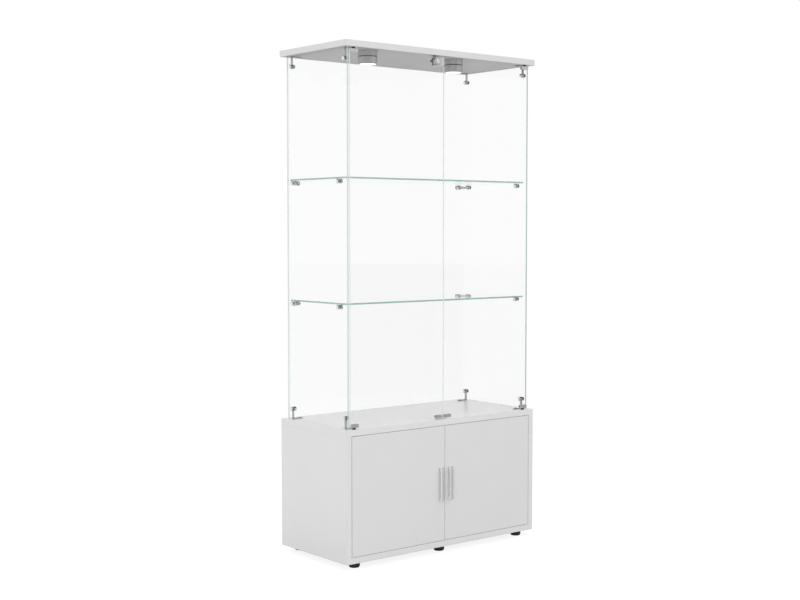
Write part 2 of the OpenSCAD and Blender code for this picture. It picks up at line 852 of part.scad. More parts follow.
// Bolts that clamp the side panes to the brackets
module bracket_bolts() {
    color(satin_metal) for (y = bracket_ys, z = bracket_zs) {
        translate([pane_x1, y, z])
            glass_bolt(bracket_bolt_cap_d, bracket_bolt_cap_t, glass_t + bracket_t, bracket_bolt_nut_t);
    }
}

module glass_bolts_right() {
    bracket_bolts();
}

module glass_bolts_left() {
    on_left() bracket_bolts();
}

// Screws through the bracket feet into the base and the canopy
module bracket_screw() {
    head_d = 1.8 * bracket_screw_d;
    head_t = 1.8;
    translate([0, 0, bracket_t]) button(head_d, head_t, 0.8);
    rod_z(0, 0, [-bracket_screw_l, bracket_t + head_t / 2], bracket_screw_d);
}

module bracket_screws() {
    color(zinc) both_sides() for (y = bracket_ys) {
        translate([bracket_screw_x, y, base_z1]) bracket_screw();
        under_canopy() translate([bracket_screw_x, y, base_z1]) bracket_screw();
    }
}

// Shelf supports
// Studs through the side panes that carry the front of a shelf
module shelf_studs(z) {
    color(satin_metal) both_sides() translate([pane_x1, stud_y, z - stud_drop])
        glass_bolt(stud_d, stud_cap_t, glass_t, stud_inner_l);
}

module shelf_studs_lower() {
    shelf_studs(shelf_zs[0]);
}

module shelf_studs_upper() {
    shelf_studs(shelf_zs[1]);
}

// Angled strap in the back corner of the showcase, with an eye on the side pane and one on the back pane
module corner_connector(z) {
    color(satin_metal) translate([0, 0, z - stud_drop]) difference() {
        union() {
            translate([pane_x0, back_pane_y0, connector_strap_h / 2]) rotate([180, 0, 0])
                linear_extrude(connector_strap_h)
                    bent_strip(connector_back_reach, connector_side_reach, connector_strap_t);
            rod_x([pane_x0 - connector_strap_t, pane_x0], connector_y, 0, stud_d);
            rod_y(connector_x, [back_pane_y0 - connector_strap_t, back_pane_y0], 0, stud_d);
        }
        rod_x([pane_x0 - connector_strap_t - over, pane_x0 + over], connector_y, 0, bolt_bore);
        rod_y(connector_x, [back_pane_y0 - connector_strap_t - over, back_pane_y0 + over], 0, bolt_bore);
    }
}

module corner_connector_lower_right() {
    corner_connector(shelf_zs[0]);
}

module corner_connector_lower_left() {
    on_left() corner_connector(shelf_zs[0]);
}

module corner_connector_upper_right() {
    corner_connector(shelf_zs[1]);
}

module corner_connector_upper_left() {
    on_left() corner_connector(shelf_zs[1]);
}

// Bolts of the corner connectors through the side panes and the back pane
module connector_bolts() {
    grip = glass_t + connector_strap_t;
    nut_t = stud_inner_l - connector_strap_t;
    color(satin_metal) both_sides() for (z = shelf_zs) {
        translate([pane_x1, connector_y, z - stud_drop]) glass_bolt(stud_d, stud_cap_t, grip, nut_t);
        translate([connector_x, pane_y1, z - stud_drop]) rotate([0, 0, 90])
            glass_bolt(stud_d, stud_cap_t, grip, nut_t);
    }
}

// Glass doors, drawn closed for the right side
module glass_door_pane() {
    eased_block([glass_door_x0, glass_door_x1], [glass_door_y0, glass_door_y1],
        [glass_door_z0, glass_door_z1], glass_ease);
}

module glass_door_right() {
    color(glass_green) glass_door_pane();
}

// The left door has a notch in its top edge for the lock cylinder
module glass_door_left() {
    through_y = [glass_door_y0 - over, glass_door_y1 + over];
    color(glass_green) difference() {
        on_left() glass_door_pane();
        rod_y(-lock_x, through_y, lock_z, lock_notch_d);
        block([-lock_x - lock_notch_d / 2, -lock_x + lock_notch_d / 2], through_y,
            [lock_z, glass_door_z1 + over]);
    }
}

// U-shaped piece over the lower edge of a glass door, from x[0] to x[1]
module edge_clamp(x) {
    slot_y = [glass_door_y0 - fit, glass_door_y1 + fit];
    difference() {
        eased_block(x, [clamp_y0, clamp_y1], [clamp_z0, clamp_z0 + clamp_h], 0.5);
        block([x[0] - over, x[1] + over], slot_y, [glass_door_z0, clamp_z0 + clamp_h + over]);
    }
}

// Hinge clamp at the lower corner, with two set screws at the back and the pivot pin below
module hinge_clamp() {
    screw_d = 5;
    screw_dx = clamp_w / 4;
    screw_recess = 0.8;
    difference() {
        edge_clamp([clamp_x - clamp_w / 2, clamp_x + clamp_w / 2]);
        for (side = [-1, 1]) {
            rod_y(clamp_x + side * screw_dx, [clamp_y1 - screw_recess, clamp_y1 + over],
                clamp_z0 + (clamp_h + clamp_web_t) / 2, screw_d);
        }
    }
    rod_z(clamp_x, glass_door_y, [clamp_pin_hole_z0 + run_fit, clamp_z0 + clamp_web_t / 2], clamp_pin_d);
}

module hinge_clamps() {
    color(satin_metal) {
        hinge_clamp();
        under_canopy() hinge_clamp();
    }
}

module door_clamps_right() {
    hinge_clamps();
}

module door_clamps_left() {
    on_left() hinge_clamps();
}

// Black bush between a clamp and the board, with a spigot in the board
module glass_door_bush() {
    difference() {
        union() {
            rod_z(clamp_x, glass_door_y, [base_z1, clamp_z0 - seat_gap], clamp_bush_d);
            rod_z(clamp_x, glass_door_y, [clamp_spigot_z0, base_z1 + clamp_gap / 2], clamp_spigot_d);
        }
        rod_z(clamp_x, glass_door_y, [clamp_pin_hole_z0, clamp_z0 + over], clamp_pin_d + 2 * run_fit);
    }
}

module glass_door_bushes() {
    color(dark_plastic) both_sides() {
        glass_door_bush();
        under_canopy() glass_door_bush();
    }
}

// Steel plate that the magnet holds, with a fine groove across its middle
module strike_plate() {
    groove_w = 0.8;
    color(satin_metal) difference() {
        edge_clamp([strike_x, strike_x + strike_w]);
        block([strike_x - over, strike_x + strike_w + over],
            [clamp_y0 - over, clamp_y0 + groove_w / 2],
            [clamp_z0 + (clamp_h - groove_w) / 2, clamp_z0 + (clamp_h + groove_w) / 2]);
    }
}

module strike_plate_right() {
    strike_plate();
}

module strike_plate_left() {
    on_left() strike_plate();
}

// Magnet block on the base behind both plates
module glass_door_magnet() {
    magnet_y0 = clamp_y1 + seat_gap;
    color(dark_plastic) eased_block([-glass_magnet_w / 2, glass_magnet_w / 2],
        [magnet_y0, magnet_y0 + glass_magnet_d], [base_z1, clamp_z0 + clamp_h - 2], 0.5);
}

// Lock
// Case over the top edge of the left glass door, with a round rim in front and a bore for the cylinder
module lock_case() {
    color(bright_metal) difference() {
        union() {
            eased_block([lock_x0, lock_x1], [lock_front_y, lock_back_y], [lock_z0, lock_z1], 0.6);
            translate([-lock_x, lock_front_y, lock_z]) rotate([90, 0, 0]) button(lock_rim_d, lock_rim_t, 1);
        }
        difference() {
            block([lock_x0 - over, lock_x1 + over], [glass_door_y0 - fit, glass_door_y1 + fit],
                [lock_z0 - over, glass_door_z1]);
            rod_y(-lock_x, [lock_front_y, lock_back_y], lock_z, lock_plug_d + 4);
        }
        rod_y(-lock_x, [lock_rim_y - over, lock_back_y + over], lock_z, lock_plug_d + 2 * run_fit);
    }
}

// Cylinder with its key slot, which turns in the case
module lock_plug() {
    slot_w = 2.4;
    slot_l = 9;
    slot_depth = 5;
    plug_y0 = lock_rim_y - 1;
    color(satin_metal) difference() {
        rod_y(-lock_x, [plug_y0, cam_y0], lock_z, lock_plug_d);
        block([-lock_x - slot_w / 2, -lock_x + slot_w / 2], [plug_y0 - over, plug_y0 + slot_depth],
            [lock_z - slot_l / 2, lock_z + slot_l / 2]);
    }
}

// Cam on the back of the cylinder, drawn unlocked: it points to the hinge side and turns up behind the tab
module lock_cam() {
    tip_r = lock_cam_w / 2;
    color(zinc) {
        block([-lock_x - cam_reach + tip_r, -lock_x], [cam_y0, cam_y1], [lock_z - tip_r, lock_z + tip_r]);
        rod_y(-lock_x - cam_reach + tip_r, [cam_y0, cam_y1], lock_z, lock_cam_w);
        rod_y(-lock_x, [cam_y0, cam_y1], lock_z, lock_cam_w + 4);
    }
}

// Angled strike tab under the canopy, which the cam catches from behind
module lock_strike() {
    tab_w = 16;
    foot_l = 18;
    foot_t = 1.5;
    tab_x = [-lock_x - tab_w / 2, -lock_x + tab_w / 2];
    color(zinc) {
        block(tab_x, [tab_y0, tab_y1], [canopy_z0 - tab_drop, canopy_z0]);
        block(tab_x, [tab_y0, tab_y0 + foot_l], [canopy_z0 - foot_t, canopy_z0]);
    }
}

// Lamps
// Upper part of a surface lamp, against the canopy, with the neck that the ring hangs on
module lamp_body(x) {
    neck_wall = 3;
    neck_floor = 2;
    color(lamp_grey) difference() {
        union() {
            rod_z(x, lamp_y, [lamp_body_z0, canopy_z0], lamp_d);
            rod_z(x, lamp_y, [lamp_neck_z0, lamp_body_z0 + over], lamp_neck_d);
        }
        rod_z(x, lamp_y, [lamp_neck_z0 - over, lamp_ring_z1 - neck_floor], lamp_neck_d - 2 * neck_wall);
    }
}

// Lower ring of a lamp: a tube that grips the neck above and holds the lens on a ledge below
module lamp_ring(x) {
    ledge_w = 2;
    color(lamp_grey) translate([x, lamp_y, 0]) difference() {
        translate([0, 0, lamp_ring_z1]) mirror([0, 0, 1]) button(lamp_d, lamp_ring_h, 1);
        rod_z(0, 0, [lamp_neck_z0, lamp_ring_z1 + over], lamp_neck_d + 2 * fit);
        rod_z(0, 0, [lamp_ring_z0, lamp_ring_z1], lamp_lens_d - 2 * ledge_w);
        rod_z(0, 0, [lamp_ring_z0 - over, lamp_lens_z0 + lamp_lens_t], lamp_lens_d + 2 * fit);
    }
}

// Round lens seated on the ledge of the ring
module lamp_lens(x) {
    color(lens_white) rod_z(x, lamp_y, [lamp_lens_z0, lamp_lens_z0 + lamp_lens_t], lamp_lens_d);
}

module lamp_body_left() {
    lamp_body(-lamp_left_x);
}

module lamp_ring_left() {
    lamp_ring(-lamp_left_x);
}

module lamp_lens_left() {
    lamp_lens(-lamp_left_x);
}

module lamp_body_right() {
    lamp_body(lamp_pitch - lamp_left_x);
}

module lamp_ring_right() {
    lamp_ring(lamp_pitch - lamp_left_x);
}

module lamp_lens_right() {
    lamp_lens(lamp_pitch - lamp_left_x);
}

base_side_left();
base_side_right();
base_top_board();
base_bottom_board();
base_back_panel();
front_feet();
back_feet();
cam_locks();
cam_bolts();
base_door_bushes();
base_door_magnets();
base_door_left();
pull_left();
pull_screws_left();
pivot_plates_left();
catch_plate_left();
base_door_right();
pull_right();
pull_screws_right();
pivot_plates_right();
catch_plate_right();
glass_side_left();
glass_side_right();
glass_back();
shelf_lower();
shelf_upper();
canopy();
brackets_bottom_left();
brackets_bottom_right();
brackets_top_left();
brackets_top_right();
glass_bolts_left();
glass_bolts_right();
bracket_screws();
shelf_studs_lower();
shelf_studs_upper();
corner_connector_lower_left();
corner_connector_lower_right();
corner_connector_upper_left();
corner_connector_upper_right();
connector_bolts();
glass_door_left();
door_clamps_left();
strike_plate_left();
lock_case();
lock_plug();
lock_cam();
glass_door_right();
door_clamps_right();
strike_plate_right();
glass_door_bushes();
glass_door_magnet();
lock_strike();
lamp_body_left();
lamp_ring_left();
lamp_lens_left();
lamp_body_right();
lamp_ring_right();
lamp_lens_right();
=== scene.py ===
import math

import bmesh
import bpy
import numpy as np
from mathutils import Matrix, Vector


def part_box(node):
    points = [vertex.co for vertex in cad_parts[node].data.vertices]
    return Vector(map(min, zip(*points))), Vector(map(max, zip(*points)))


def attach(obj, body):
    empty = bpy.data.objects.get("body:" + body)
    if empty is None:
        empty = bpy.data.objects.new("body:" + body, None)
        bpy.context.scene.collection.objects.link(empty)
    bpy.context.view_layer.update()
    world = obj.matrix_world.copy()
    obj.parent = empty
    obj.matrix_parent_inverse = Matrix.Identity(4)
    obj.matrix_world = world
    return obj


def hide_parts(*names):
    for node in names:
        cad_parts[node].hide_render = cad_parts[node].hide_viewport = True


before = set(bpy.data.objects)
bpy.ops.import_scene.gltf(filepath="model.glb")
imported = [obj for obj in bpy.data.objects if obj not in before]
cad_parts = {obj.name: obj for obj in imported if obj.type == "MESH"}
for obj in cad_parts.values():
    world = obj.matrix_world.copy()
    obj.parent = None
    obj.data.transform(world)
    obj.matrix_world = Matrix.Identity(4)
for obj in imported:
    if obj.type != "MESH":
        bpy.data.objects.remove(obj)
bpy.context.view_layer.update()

# Millimetres to metres
MM = 0.001


def node_box(name):
    """Lowest and highest corner of a CAD node, in millimetres."""
    low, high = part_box(name)
    return np.array(low) / MM, np.array(high) / MM


# Surfaces

def grid_corners(rows, columns, closed):
    """Corner numbers of the quads of a grid whose columns form rings.

    closed also joins the last row to the first.
    """
    row = np.arange(rows if closed else rows - 1)[:, None]
    column = np.arange(columns)[None, :]
    next_row = (row + 1) % rows
    next_column = (column + 1) % columns
    corners = (row * columns + column, row * columns + next_column,
               next_row * columns + next_column, next_row * columns + column)
    return np.stack(np.broadcast_arrays(*corners), -1).reshape(-1)


def skin(rings, closed=False):
    """Shell over a grid of points: row i is ring i, and quads join neighbouring rings.

    Flat caps close its two ends, or closed joins the last ring to the first.
    """
    rows, columns = rings.shape[:2]
    corners = grid_corners(rows, columns, closed)
    sizes = np.full(len(corners) // 4, 4)
    if not closed:
        first = np.arange(columns)[::-1]
        last = np.arange(columns) + (rows - 1) * columns
        corners = np.concatenate([corners, first, last])
        sizes = np.concatenate([sizes, [columns, columns]])
    return rings.reshape(-1, 3), corners, sizes


def rounded(corners, radii, steps=5):
    """Outline through the corners with each one turned into an arc.

    An arc touches both sides at radius / tan(half the angle) from its corner and runs round the centre at
    radius / sin(half the angle). One more point on each side, a little past the arc, keeps the flats flat.
    """
    corners = np.asarray(corners, float)
    radii = np.broadcast_to(np.asarray(radii, float), len(corners))[:, None]
    back = np.roll(corners, 1, 0) - corners
    ahead = np.roll(corners, -1, 0) - corners
    back /= np.linalg.norm(back, axis=1, keepdims=True)
    ahead /= np.linalg.norm(ahead, axis=1, keepdims=True)
    half = np.arccos(np.clip(np.sum(back * ahead, 1, keepdims=True), -1, 1)) / 2
    reach = radii / np.tan(half)
    inward = back + ahead
    inward /= np.linalg.norm(inward, axis=1, keepdims=True)
    centre = corners + inward * radii / np.sin(half)
    start = (corners + back * reach - centre)[:, None]
    end = (corners + ahead * reach - centre)[:, None]
    turn = (math.pi - 2 * half)[:, None]
    share = np.linspace(0, 1, steps + 1)[None, :, None]
    arcs = centre[:, None] + (np.sin((1 - share) * turn) * start + np.sin(share * turn) * end) / np.sin(turn)
    past = 1.25 * reach
    points = np.concatenate([(corners + back * past)[:, None], arcs, (corners + ahead * past)[:, None]], 1)
    kept = np.repeat(radii > 0, points.shape[1], 1)
    kept[:, 0] = True
    return points[kept]


def placed(u, v, w, axes):
    """Points whose coordinates u, v and w lie along the named axes, such as "yzx"."""
    parts = dict(zip(axes, np.broadcast_arrays(u, v, w)))
    return np.stack([parts["x"], parts["y"], parts["z"]], -1)


def extruded(outline, low, high, axes):
    """Prism: every point of the outline (u, v) at w = low and again at w = high."""
    ends = np.array([low, high])[:, None]
    return skin(placed(outline[None, :, 0], outline[None, :, 1], ends, axes))


def round_hole(angle):
    """Radius 1 at every angle."""
    return np.ones_like(angle)


def hex_hole(angle):
    """Edge of a hexagon with its flats at distance 1: 1 / cos of the angle to the nearest flat."""
    return 1 / np.cos((angle + math.pi / 6) % (math.pi / 3) - math.pi / 6)


def cross_hole(angle):
    """Edge of a cross with arms of length 1 and width 0.36: the further of its two bars at each angle."""
    half_width = 0.18
    across = np.maximum(np.abs(np.cos(angle)), 1e-6)
    up = np.maximum(np.abs(np.sin(angle)), 1e-6)
    level_bar = np.minimum(1 / across, half_width / up)
    upright_bar = np.minimum(1 / up, half_width / across)
    return np.maximum(level_bar, upright_bar)


def turned(outline, centre, axis, hole=round_hole, hole_rows=0, closed=False, steps=48):
    """Turned shape: point (i, j) is centre + height_i along the axis + radius_i at angle 2 pi j / steps.

    The outline holds (radius, height). Over its last hole_rows rows the radius is multiplied by
    hole(angle).
    """
    axis = np.asarray(axis, float)
    side = np.roll(axis, 1)
    other = np.cross(axis, side)
    angle = 2 * math.pi * np.arange(steps) / steps
    radius = np.repeat(outline[:, :1], steps, 1)
    if hole_rows:
        radius[-hole_rows:] *= hole(angle)
    spread = np.cos(angle)[:, None] * side + np.sin(angle)[:, None] * other
    points = np.asarray(centre) + outline[:, 1, None, None] * axis + radius[:, :, None] * spread
    return skin(points, closed)


def strip(path, half_width, thickness, ease, axes):
    """Bent flat bar: a rounded rectangle carried along a path.

    At path point i it spans half_width_i to both sides across the path's plane and the thickness along the
    path's own normal, which is the tangent turned by a quarter.
    """
    tangent = np.gradient(path, axis=0)
    tangent /= np.linalg.norm(tangent, axis=1, keepdims=True)
    normal = np.stack([-tangent[:, 1], tangent[:, 0]], 1)
    half = thickness / 2
    section = rounded([(-1, -half), (1, -half), (1, half), (-1, half)], ease, 3)
    # Across the path only the flat middle grows, so the rounding of the edges keeps its size
    across = section[None, :, 0] + np.sign(section[None, :, 0]) * (half_width[:, None] - 1)
    in_plane = path[:, None] + section[None, :, 1, None] * normal[:, None]
    return skin(placed(in_plane[..., 0], in_plane[..., 1], across, axes))


def bent_path(start, corner, end, radius, steps=10):
    """Two straight runs joined by an arc at the corner, with points close together along the runs."""
    start, corner, end = (np.asarray(point, float) for point in (start, corner, end))
    back = (start - corner) / np.linalg.norm(start - corner)
    ahead = (end - corner) / np.linalg.norm(end - corner)
    turn = np.linspace(0, math.pi / 2, steps)[:, None]
    centre = corner + radius * (back + ahead)
    arc = centre - radius * (np.cos(turn) * ahead + np.sin(turn) * back)
    share = np.linspace(0, 1, steps, endpoint=False)[:, None]
    first = start + share * (arc[0] - start)
    last = end + share * (arc[-1] - end)
    return np.concatenate([first, arc, last[::-1]])


def round_ended(path, half_width):
    """Half width along a path whose first end is a half circle: sqrt(w^2 - (w - s)^2) over the first w."""
    length = np.concatenate([[0], np.cumsum(np.linalg.norm(np.diff(path, axis=0), axis=1))])
    left = np.clip(half_width - length, 0, half_width * 0.98)
    return np.sqrt(half_width ** 2 - left ** 2)


def moved(shell, shift=(0, 0, 0), flip=(1, 1, 1)):
    """The same shell with every point multiplied by flip and then shifted."""
    points, corners, sizes = shell
    return points * np.asarray(flip) + np.asarray(shift), corners, sizes


def on_left(shells):
    """The shells on the other side of the middle plane."""
    return [moved(shell, flip=(-1, 1, 1)) for shell in shells]


# Pieces

def make_piece(name, shells, body, slot, stands_for=(), ease=0.0, finish=None):
    """One mesh object from closed shells in millimetres, riding on a body.

    ease rounds its sharp edges. Its finish is that of its slot, unless another is given.
    """
    starts = np.cumsum([0] + [len(points) for points, _, _ in shells])
    points = np.concatenate([points for points, _, _ in shells]) * MM
    corners = np.concatenate([corners + start for (_, corners, _), start in zip(shells, starts)])
    sizes = np.concatenate([sizes for _, _, sizes in shells])
    mesh = bpy.data.meshes.new(name)
    mesh.vertices.add(len(points))
    mesh.vertices.foreach_set("co", points.astype(np.float32).ravel())
    mesh.loops.add(len(corners))
    mesh.loops.foreach_set("vertex_index", corners.astype(np.int32))
    mesh.polygons.add(len(sizes))
    mesh.polygons.foreach_set("loop_start", (np.cumsum(sizes) - sizes).astype(np.int32))
    mesh.update(calc_edges=True)
    work = bmesh.new()
    work.from_mesh(mesh)
    bmesh.ops.recalc_face_normals(work, faces=work.faces)
    work.to_mesh(mesh)
    work.free()
    mesh.polygons.foreach_set("use_smooth", sizes == 4)
    mesh.set_sharp_from_angle(angle=math.radians(35))
    mesh.materials.append(finish or finishes[slot])
    piece = bpy.data.objects.new(name, mesh)
    bpy.context.scene.collection.objects.link(piece)
    if ease:
        bevel = piece.modifiers.new("Eased edges", "BEVEL")
        bevel.width = ease * MM
        bevel.segments = 3
        bevel.limit_method = "ANGLE"
        bevel.angle_limit = math.radians(40)
        bevel.harden_normals = True
    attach(piece, body)
    if stands_for:
        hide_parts(*stands_for)
    return piece


# Finishes

def new_tree(name):
    """An empty material and its node tree."""
    material = bpy.data.materials.new(name)
    material.use_nodes = True
    material.node_tree.nodes.clear()
    return material, material.node_tree


def add(tree, kind, inputs=None, **settings):
    """Adds a node; inputs are plain values or the sockets that feed them."""
    node = tree.nodes.new(kind)
    for key, value in settings.items():
        setattr(node, key, value)
    for key, value in (inputs or {}).items():
        if isinstance(value, bpy.types.NodeSocket):
            tree.links.new(value, node.inputs[key])
        else:
            node.inputs[key].default_value = value
    return node


def calc(tree, operation, *values):
    """Math node on plain values or sockets."""
    return add(tree, "ShaderNodeMath", dict(enumerate(values)), operation=operation).outputs[0]


def remap(tree, value, low, high, to_low, to_high):
    """Carries the range low..high over to to_low..to_high, held at both ends."""
    inputs = {"Value": value, "From Min": low, "From Max": high, "To Min": to_low, "To Max": to_high}
    return add(tree, "ShaderNodeMapRange", inputs).outputs["Result"]


def blend(tree, share, first, second):
    """Mixes two colours by share."""
    return add(tree, "ShaderNodeMix", {0: share, 6: first, 7: second}, data_type="RGBA").outputs[2]


def grey(value, warmth=0.0):
    """A near-neutral colour; warmth lifts red and lowers blue."""
    return (value * (1 + warmth), value, value * (1 - warmth), 1.0)


def object_points(tree, scale=(1, 1, 1)):
    """Object coordinates, stretched per axis."""
    coordinates = add(tree, "ShaderNodeTexCoord").outputs["Object"]
    return add(tree, "ShaderNodeMapping", {"Vector": coordinates, "Scale": scale}).outputs["Vector"]


def noise(tree, points, scale, detail=3.0, rough=0.5):
    """Soft noise between 0 and 1."""
    inputs = {"Vector": points, "Scale": scale, "Detail": detail, "Roughness": rough}
    return add(tree, "ShaderNodeTexNoise", inputs).outputs["Fac"]


def bump(tree, height, strength, depth):
    """Normal tilted by a height pattern of the given depth in metres."""
    inputs = {"Height": height, "Strength": strength, "Distance": depth}
    return add(tree, "ShaderNodeBump", inputs).outputs["Normal"]


def finish_with(material, tree, inputs):
    """Ends a material in one Principled shader."""
    shader = add(tree, "ShaderNodeBsdfPrincipled", inputs)
    add(tree, "ShaderNodeOutputMaterial", {"Surface": shader.outputs[0]})
    return material


def seam_lines(tree, planes):
    """1 on hair-wide lines where the surface crosses a plane (axis, place): joints of the edge bands."""
    seam_half_width = 0.12 * MM
    points = add(tree, "ShaderNodeTexCoord").outputs["Object"]
    parts = add(tree, "ShaderNodeSeparateXYZ", {"Vector": points}).outputs
    lines = 0.0
    for axis, place in planes:
        off = calc(tree, "ABSOLUTE", calc(tree, "SUBTRACT", parts[axis], place))
        lines = calc(tree, "MAXIMUM", lines, calc(tree, "LESS_THAN", off, seam_half_width))
    return lines


def laminate(name, value, roughness, sheen, planes):
    """Pressed laminate: faint clouding, fine print grain, orange peel, wear and seams of the edge bands."""
    material, tree = new_tree(name)
    points = object_points(tree)
    cloud = noise(tree, points, 7.0, 4.0)
    grain = noise(tree, points, 900.0, 2.0, 0.6)
    tone = calc(tree, "ADD", calc(tree, "MULTIPLY", cloud, 0.8), calc(tree, "MULTIPLY", grain, 0.2))
    colour = blend(tree, tone, grey(value * 0.975), grey(value * 1.025))
    seams = seam_lines(tree, planes)
    colour = blend(tree, calc(tree, "MULTIPLY", seams, 0.35), colour, grey(value * 0.45))
    peel = noise(tree, points, 520.0, 2.0)
    wear = noise(tree, points, 9.0, 2.0)
    return finish_with(material, tree, {
        "Base Color": colour,
        "Roughness": remap(tree, wear, 0.2, 0.8, roughness - 0.02, roughness + 0.03),
        "Specular IOR Level": sheen,
        "Normal": bump(tree, peel, 0.03, 0.05 * MM),
    })


def hardboard(name, value):
    """Thin back panel: matt foil over pressed fibres."""
    material, tree = new_tree(name)
    points = object_points(tree, (1.0, 1.0, 0.35))
    fibres = noise(tree, points, 420.0, 6.0, 0.65)
    cloud = noise(tree, points, 5.0, 3.0)
    tone = calc(tree, "ADD", calc(tree, "MULTIPLY", fibres, 0.5), calc(tree, "MULTIPLY", cloud, 0.5))
    return finish_with(material, tree, {
        "Base Color": blend(tree, tone, grey(value * 0.94), grey(value * 1.05)),
        "Roughness": remap(tree, fibres, 0.3, 0.7, 0.52, 0.66),
        "Normal": bump(tree, fibres, 0.35, 0.1 * MM),
    })


def moulded(name, value, roughness):
    """Moulded plastic: spark-eroded texture, slight clouding and rubbed, shinier patches."""
    material, tree = new_tree(name)
    points = object_points(tree)
    sparks = noise(tree, points, 2600.0, 2.0, 0.6)
    cloud = noise(tree, points, 45.0, 4.0)
    return finish_with(material, tree, {
        "Base Color": blend(tree, cloud, grey(value * 0.8), grey(value * 1.25)),
        "Roughness": remap(tree, cloud, 0.3, 0.7, roughness - 0.08, roughness + 0.08),
        "Normal": bump(tree, sparks, 0.3, 0.04 * MM),
    })


def brushed(name, value, roughness, stretch, metallic=1.0):
    """Brushed metal: hair lines along the axis with the smallest stretch, and faint handling marks."""
    material, tree = new_tree(name)
    lines = noise(tree, object_points(tree, stretch), 1.0, 4.0, 0.65)
    marks = noise(tree, object_points(tree), 90.0, 4.0, 0.6)
    tone = calc(tree, "ADD", calc(tree, "MULTIPLY", lines, 0.65), calc(tree, "MULTIPLY", marks, 0.35))
    return finish_with(material, tree, {
        "Base Color": blend(tree, tone, grey(value * 0.92), grey(value * 1.06)),
        "Metallic": metallic,
        "Roughness": remap(tree, tone, 0.3, 0.7, roughness - 0.05, roughness + 0.07),
        "Normal": bump(tree, lines, 0.18, 0.02 * MM),
    })


def plated(name, value, roughness):
    """Polished plating: almost a mirror, with smudges and hair scratches that dull it in places."""
    material, tree = new_tree(name)
    smudges = noise(tree, object_points(tree), 120.0, 5.0, 0.6)
    scratches = noise(tree, object_points(tree, (9000.0, 700.0, 2500.0)), 1.0, 3.0, 0.7)
    marks = calc(tree, "ADD", calc(tree, "MULTIPLY", smudges, 0.6), calc(tree, "MULTIPLY", scratches, 0.4))
    return finish_with(material, tree, {
        "Base Color": blend(tree, marks, grey(value * 0.93), grey(value * 1.05)),
        "Metallic": 1.0,
        "Roughness": remap(tree, marks, 0.35, 0.7, roughness * 0.6, roughness * 1.7),
    })


def zinc_plated(name, value):
    """Zinc plate: small crystal patches, each with its own tone and sheen."""
    material, tree = new_tree(name)
    points = object_points(tree)
    patches = add(tree, "ShaderNodeTexVoronoi", {"Vector": points, "Scale": 900.0}).outputs["Color"]
    patch = add(tree, "ShaderNodeSeparateColor", {"Color": patches}).outputs[0]
    cloud = noise(tree, points, 160.0, 3.0)
    tone = calc(tree, "ADD", calc(tree, "MULTIPLY", patch, 0.5), calc(tree, "MULTIPLY", cloud, 0.5))
    return finish_with(material, tree, {
        "Base Color": blend(tree, tone, grey(value * 0.82, 0.01), grey(value * 1.1, 0.01)),
        "Metallic": 1.0,
        "Roughness": remap(tree, tone, 0.2, 0.8, 0.3, 0.46),
    })


def enamelled(name, value):
    """Silver-grey stoved paint with metal flakes and a soft sheen."""
    material, tree = new_tree(name)
    points = object_points(tree)
    flakes = noise(tree, points, 3200.0, 1.0, 0.8)
    cloud = noise(tree, points, 60.0, 4.0)
    tone = calc(tree, "ADD", calc(tree, "MULTIPLY", flakes, 0.55), calc(tree, "MULTIPLY", cloud, 0.45))
    return finish_with(material, tree, {
        "Base Color": blend(tree, tone, grey(value * 0.9), grey(value * 1.1)),
        "Metallic": 0.35,
        "Roughness": remap(tree, cloud, 0.3, 0.7, 0.32, 0.42),
        "Normal": bump(tree, flakes, 0.1, 0.02 * MM),
    })


def lit_lens(name):
    """Opal lens of a lit lamp: bright, with a fine pressed texture that shows on its rim."""
    material, tree = new_tree(name)
    pips = noise(tree, object_points(tree), 1500.0, 1.0)
    glow = blend(tree, pips, (1.0, 0.985, 0.95, 1.0), (1.0, 1.0, 0.985, 1.0))
    return finish_with(material, tree, {
        "Base Color": glow,
        "Emission Color": glow,
        "Emission Strength": 2.0,
        "Roughness": 0.35,
        "Normal": bump(tree, pips, 0.2, 0.05 * MM),
    })


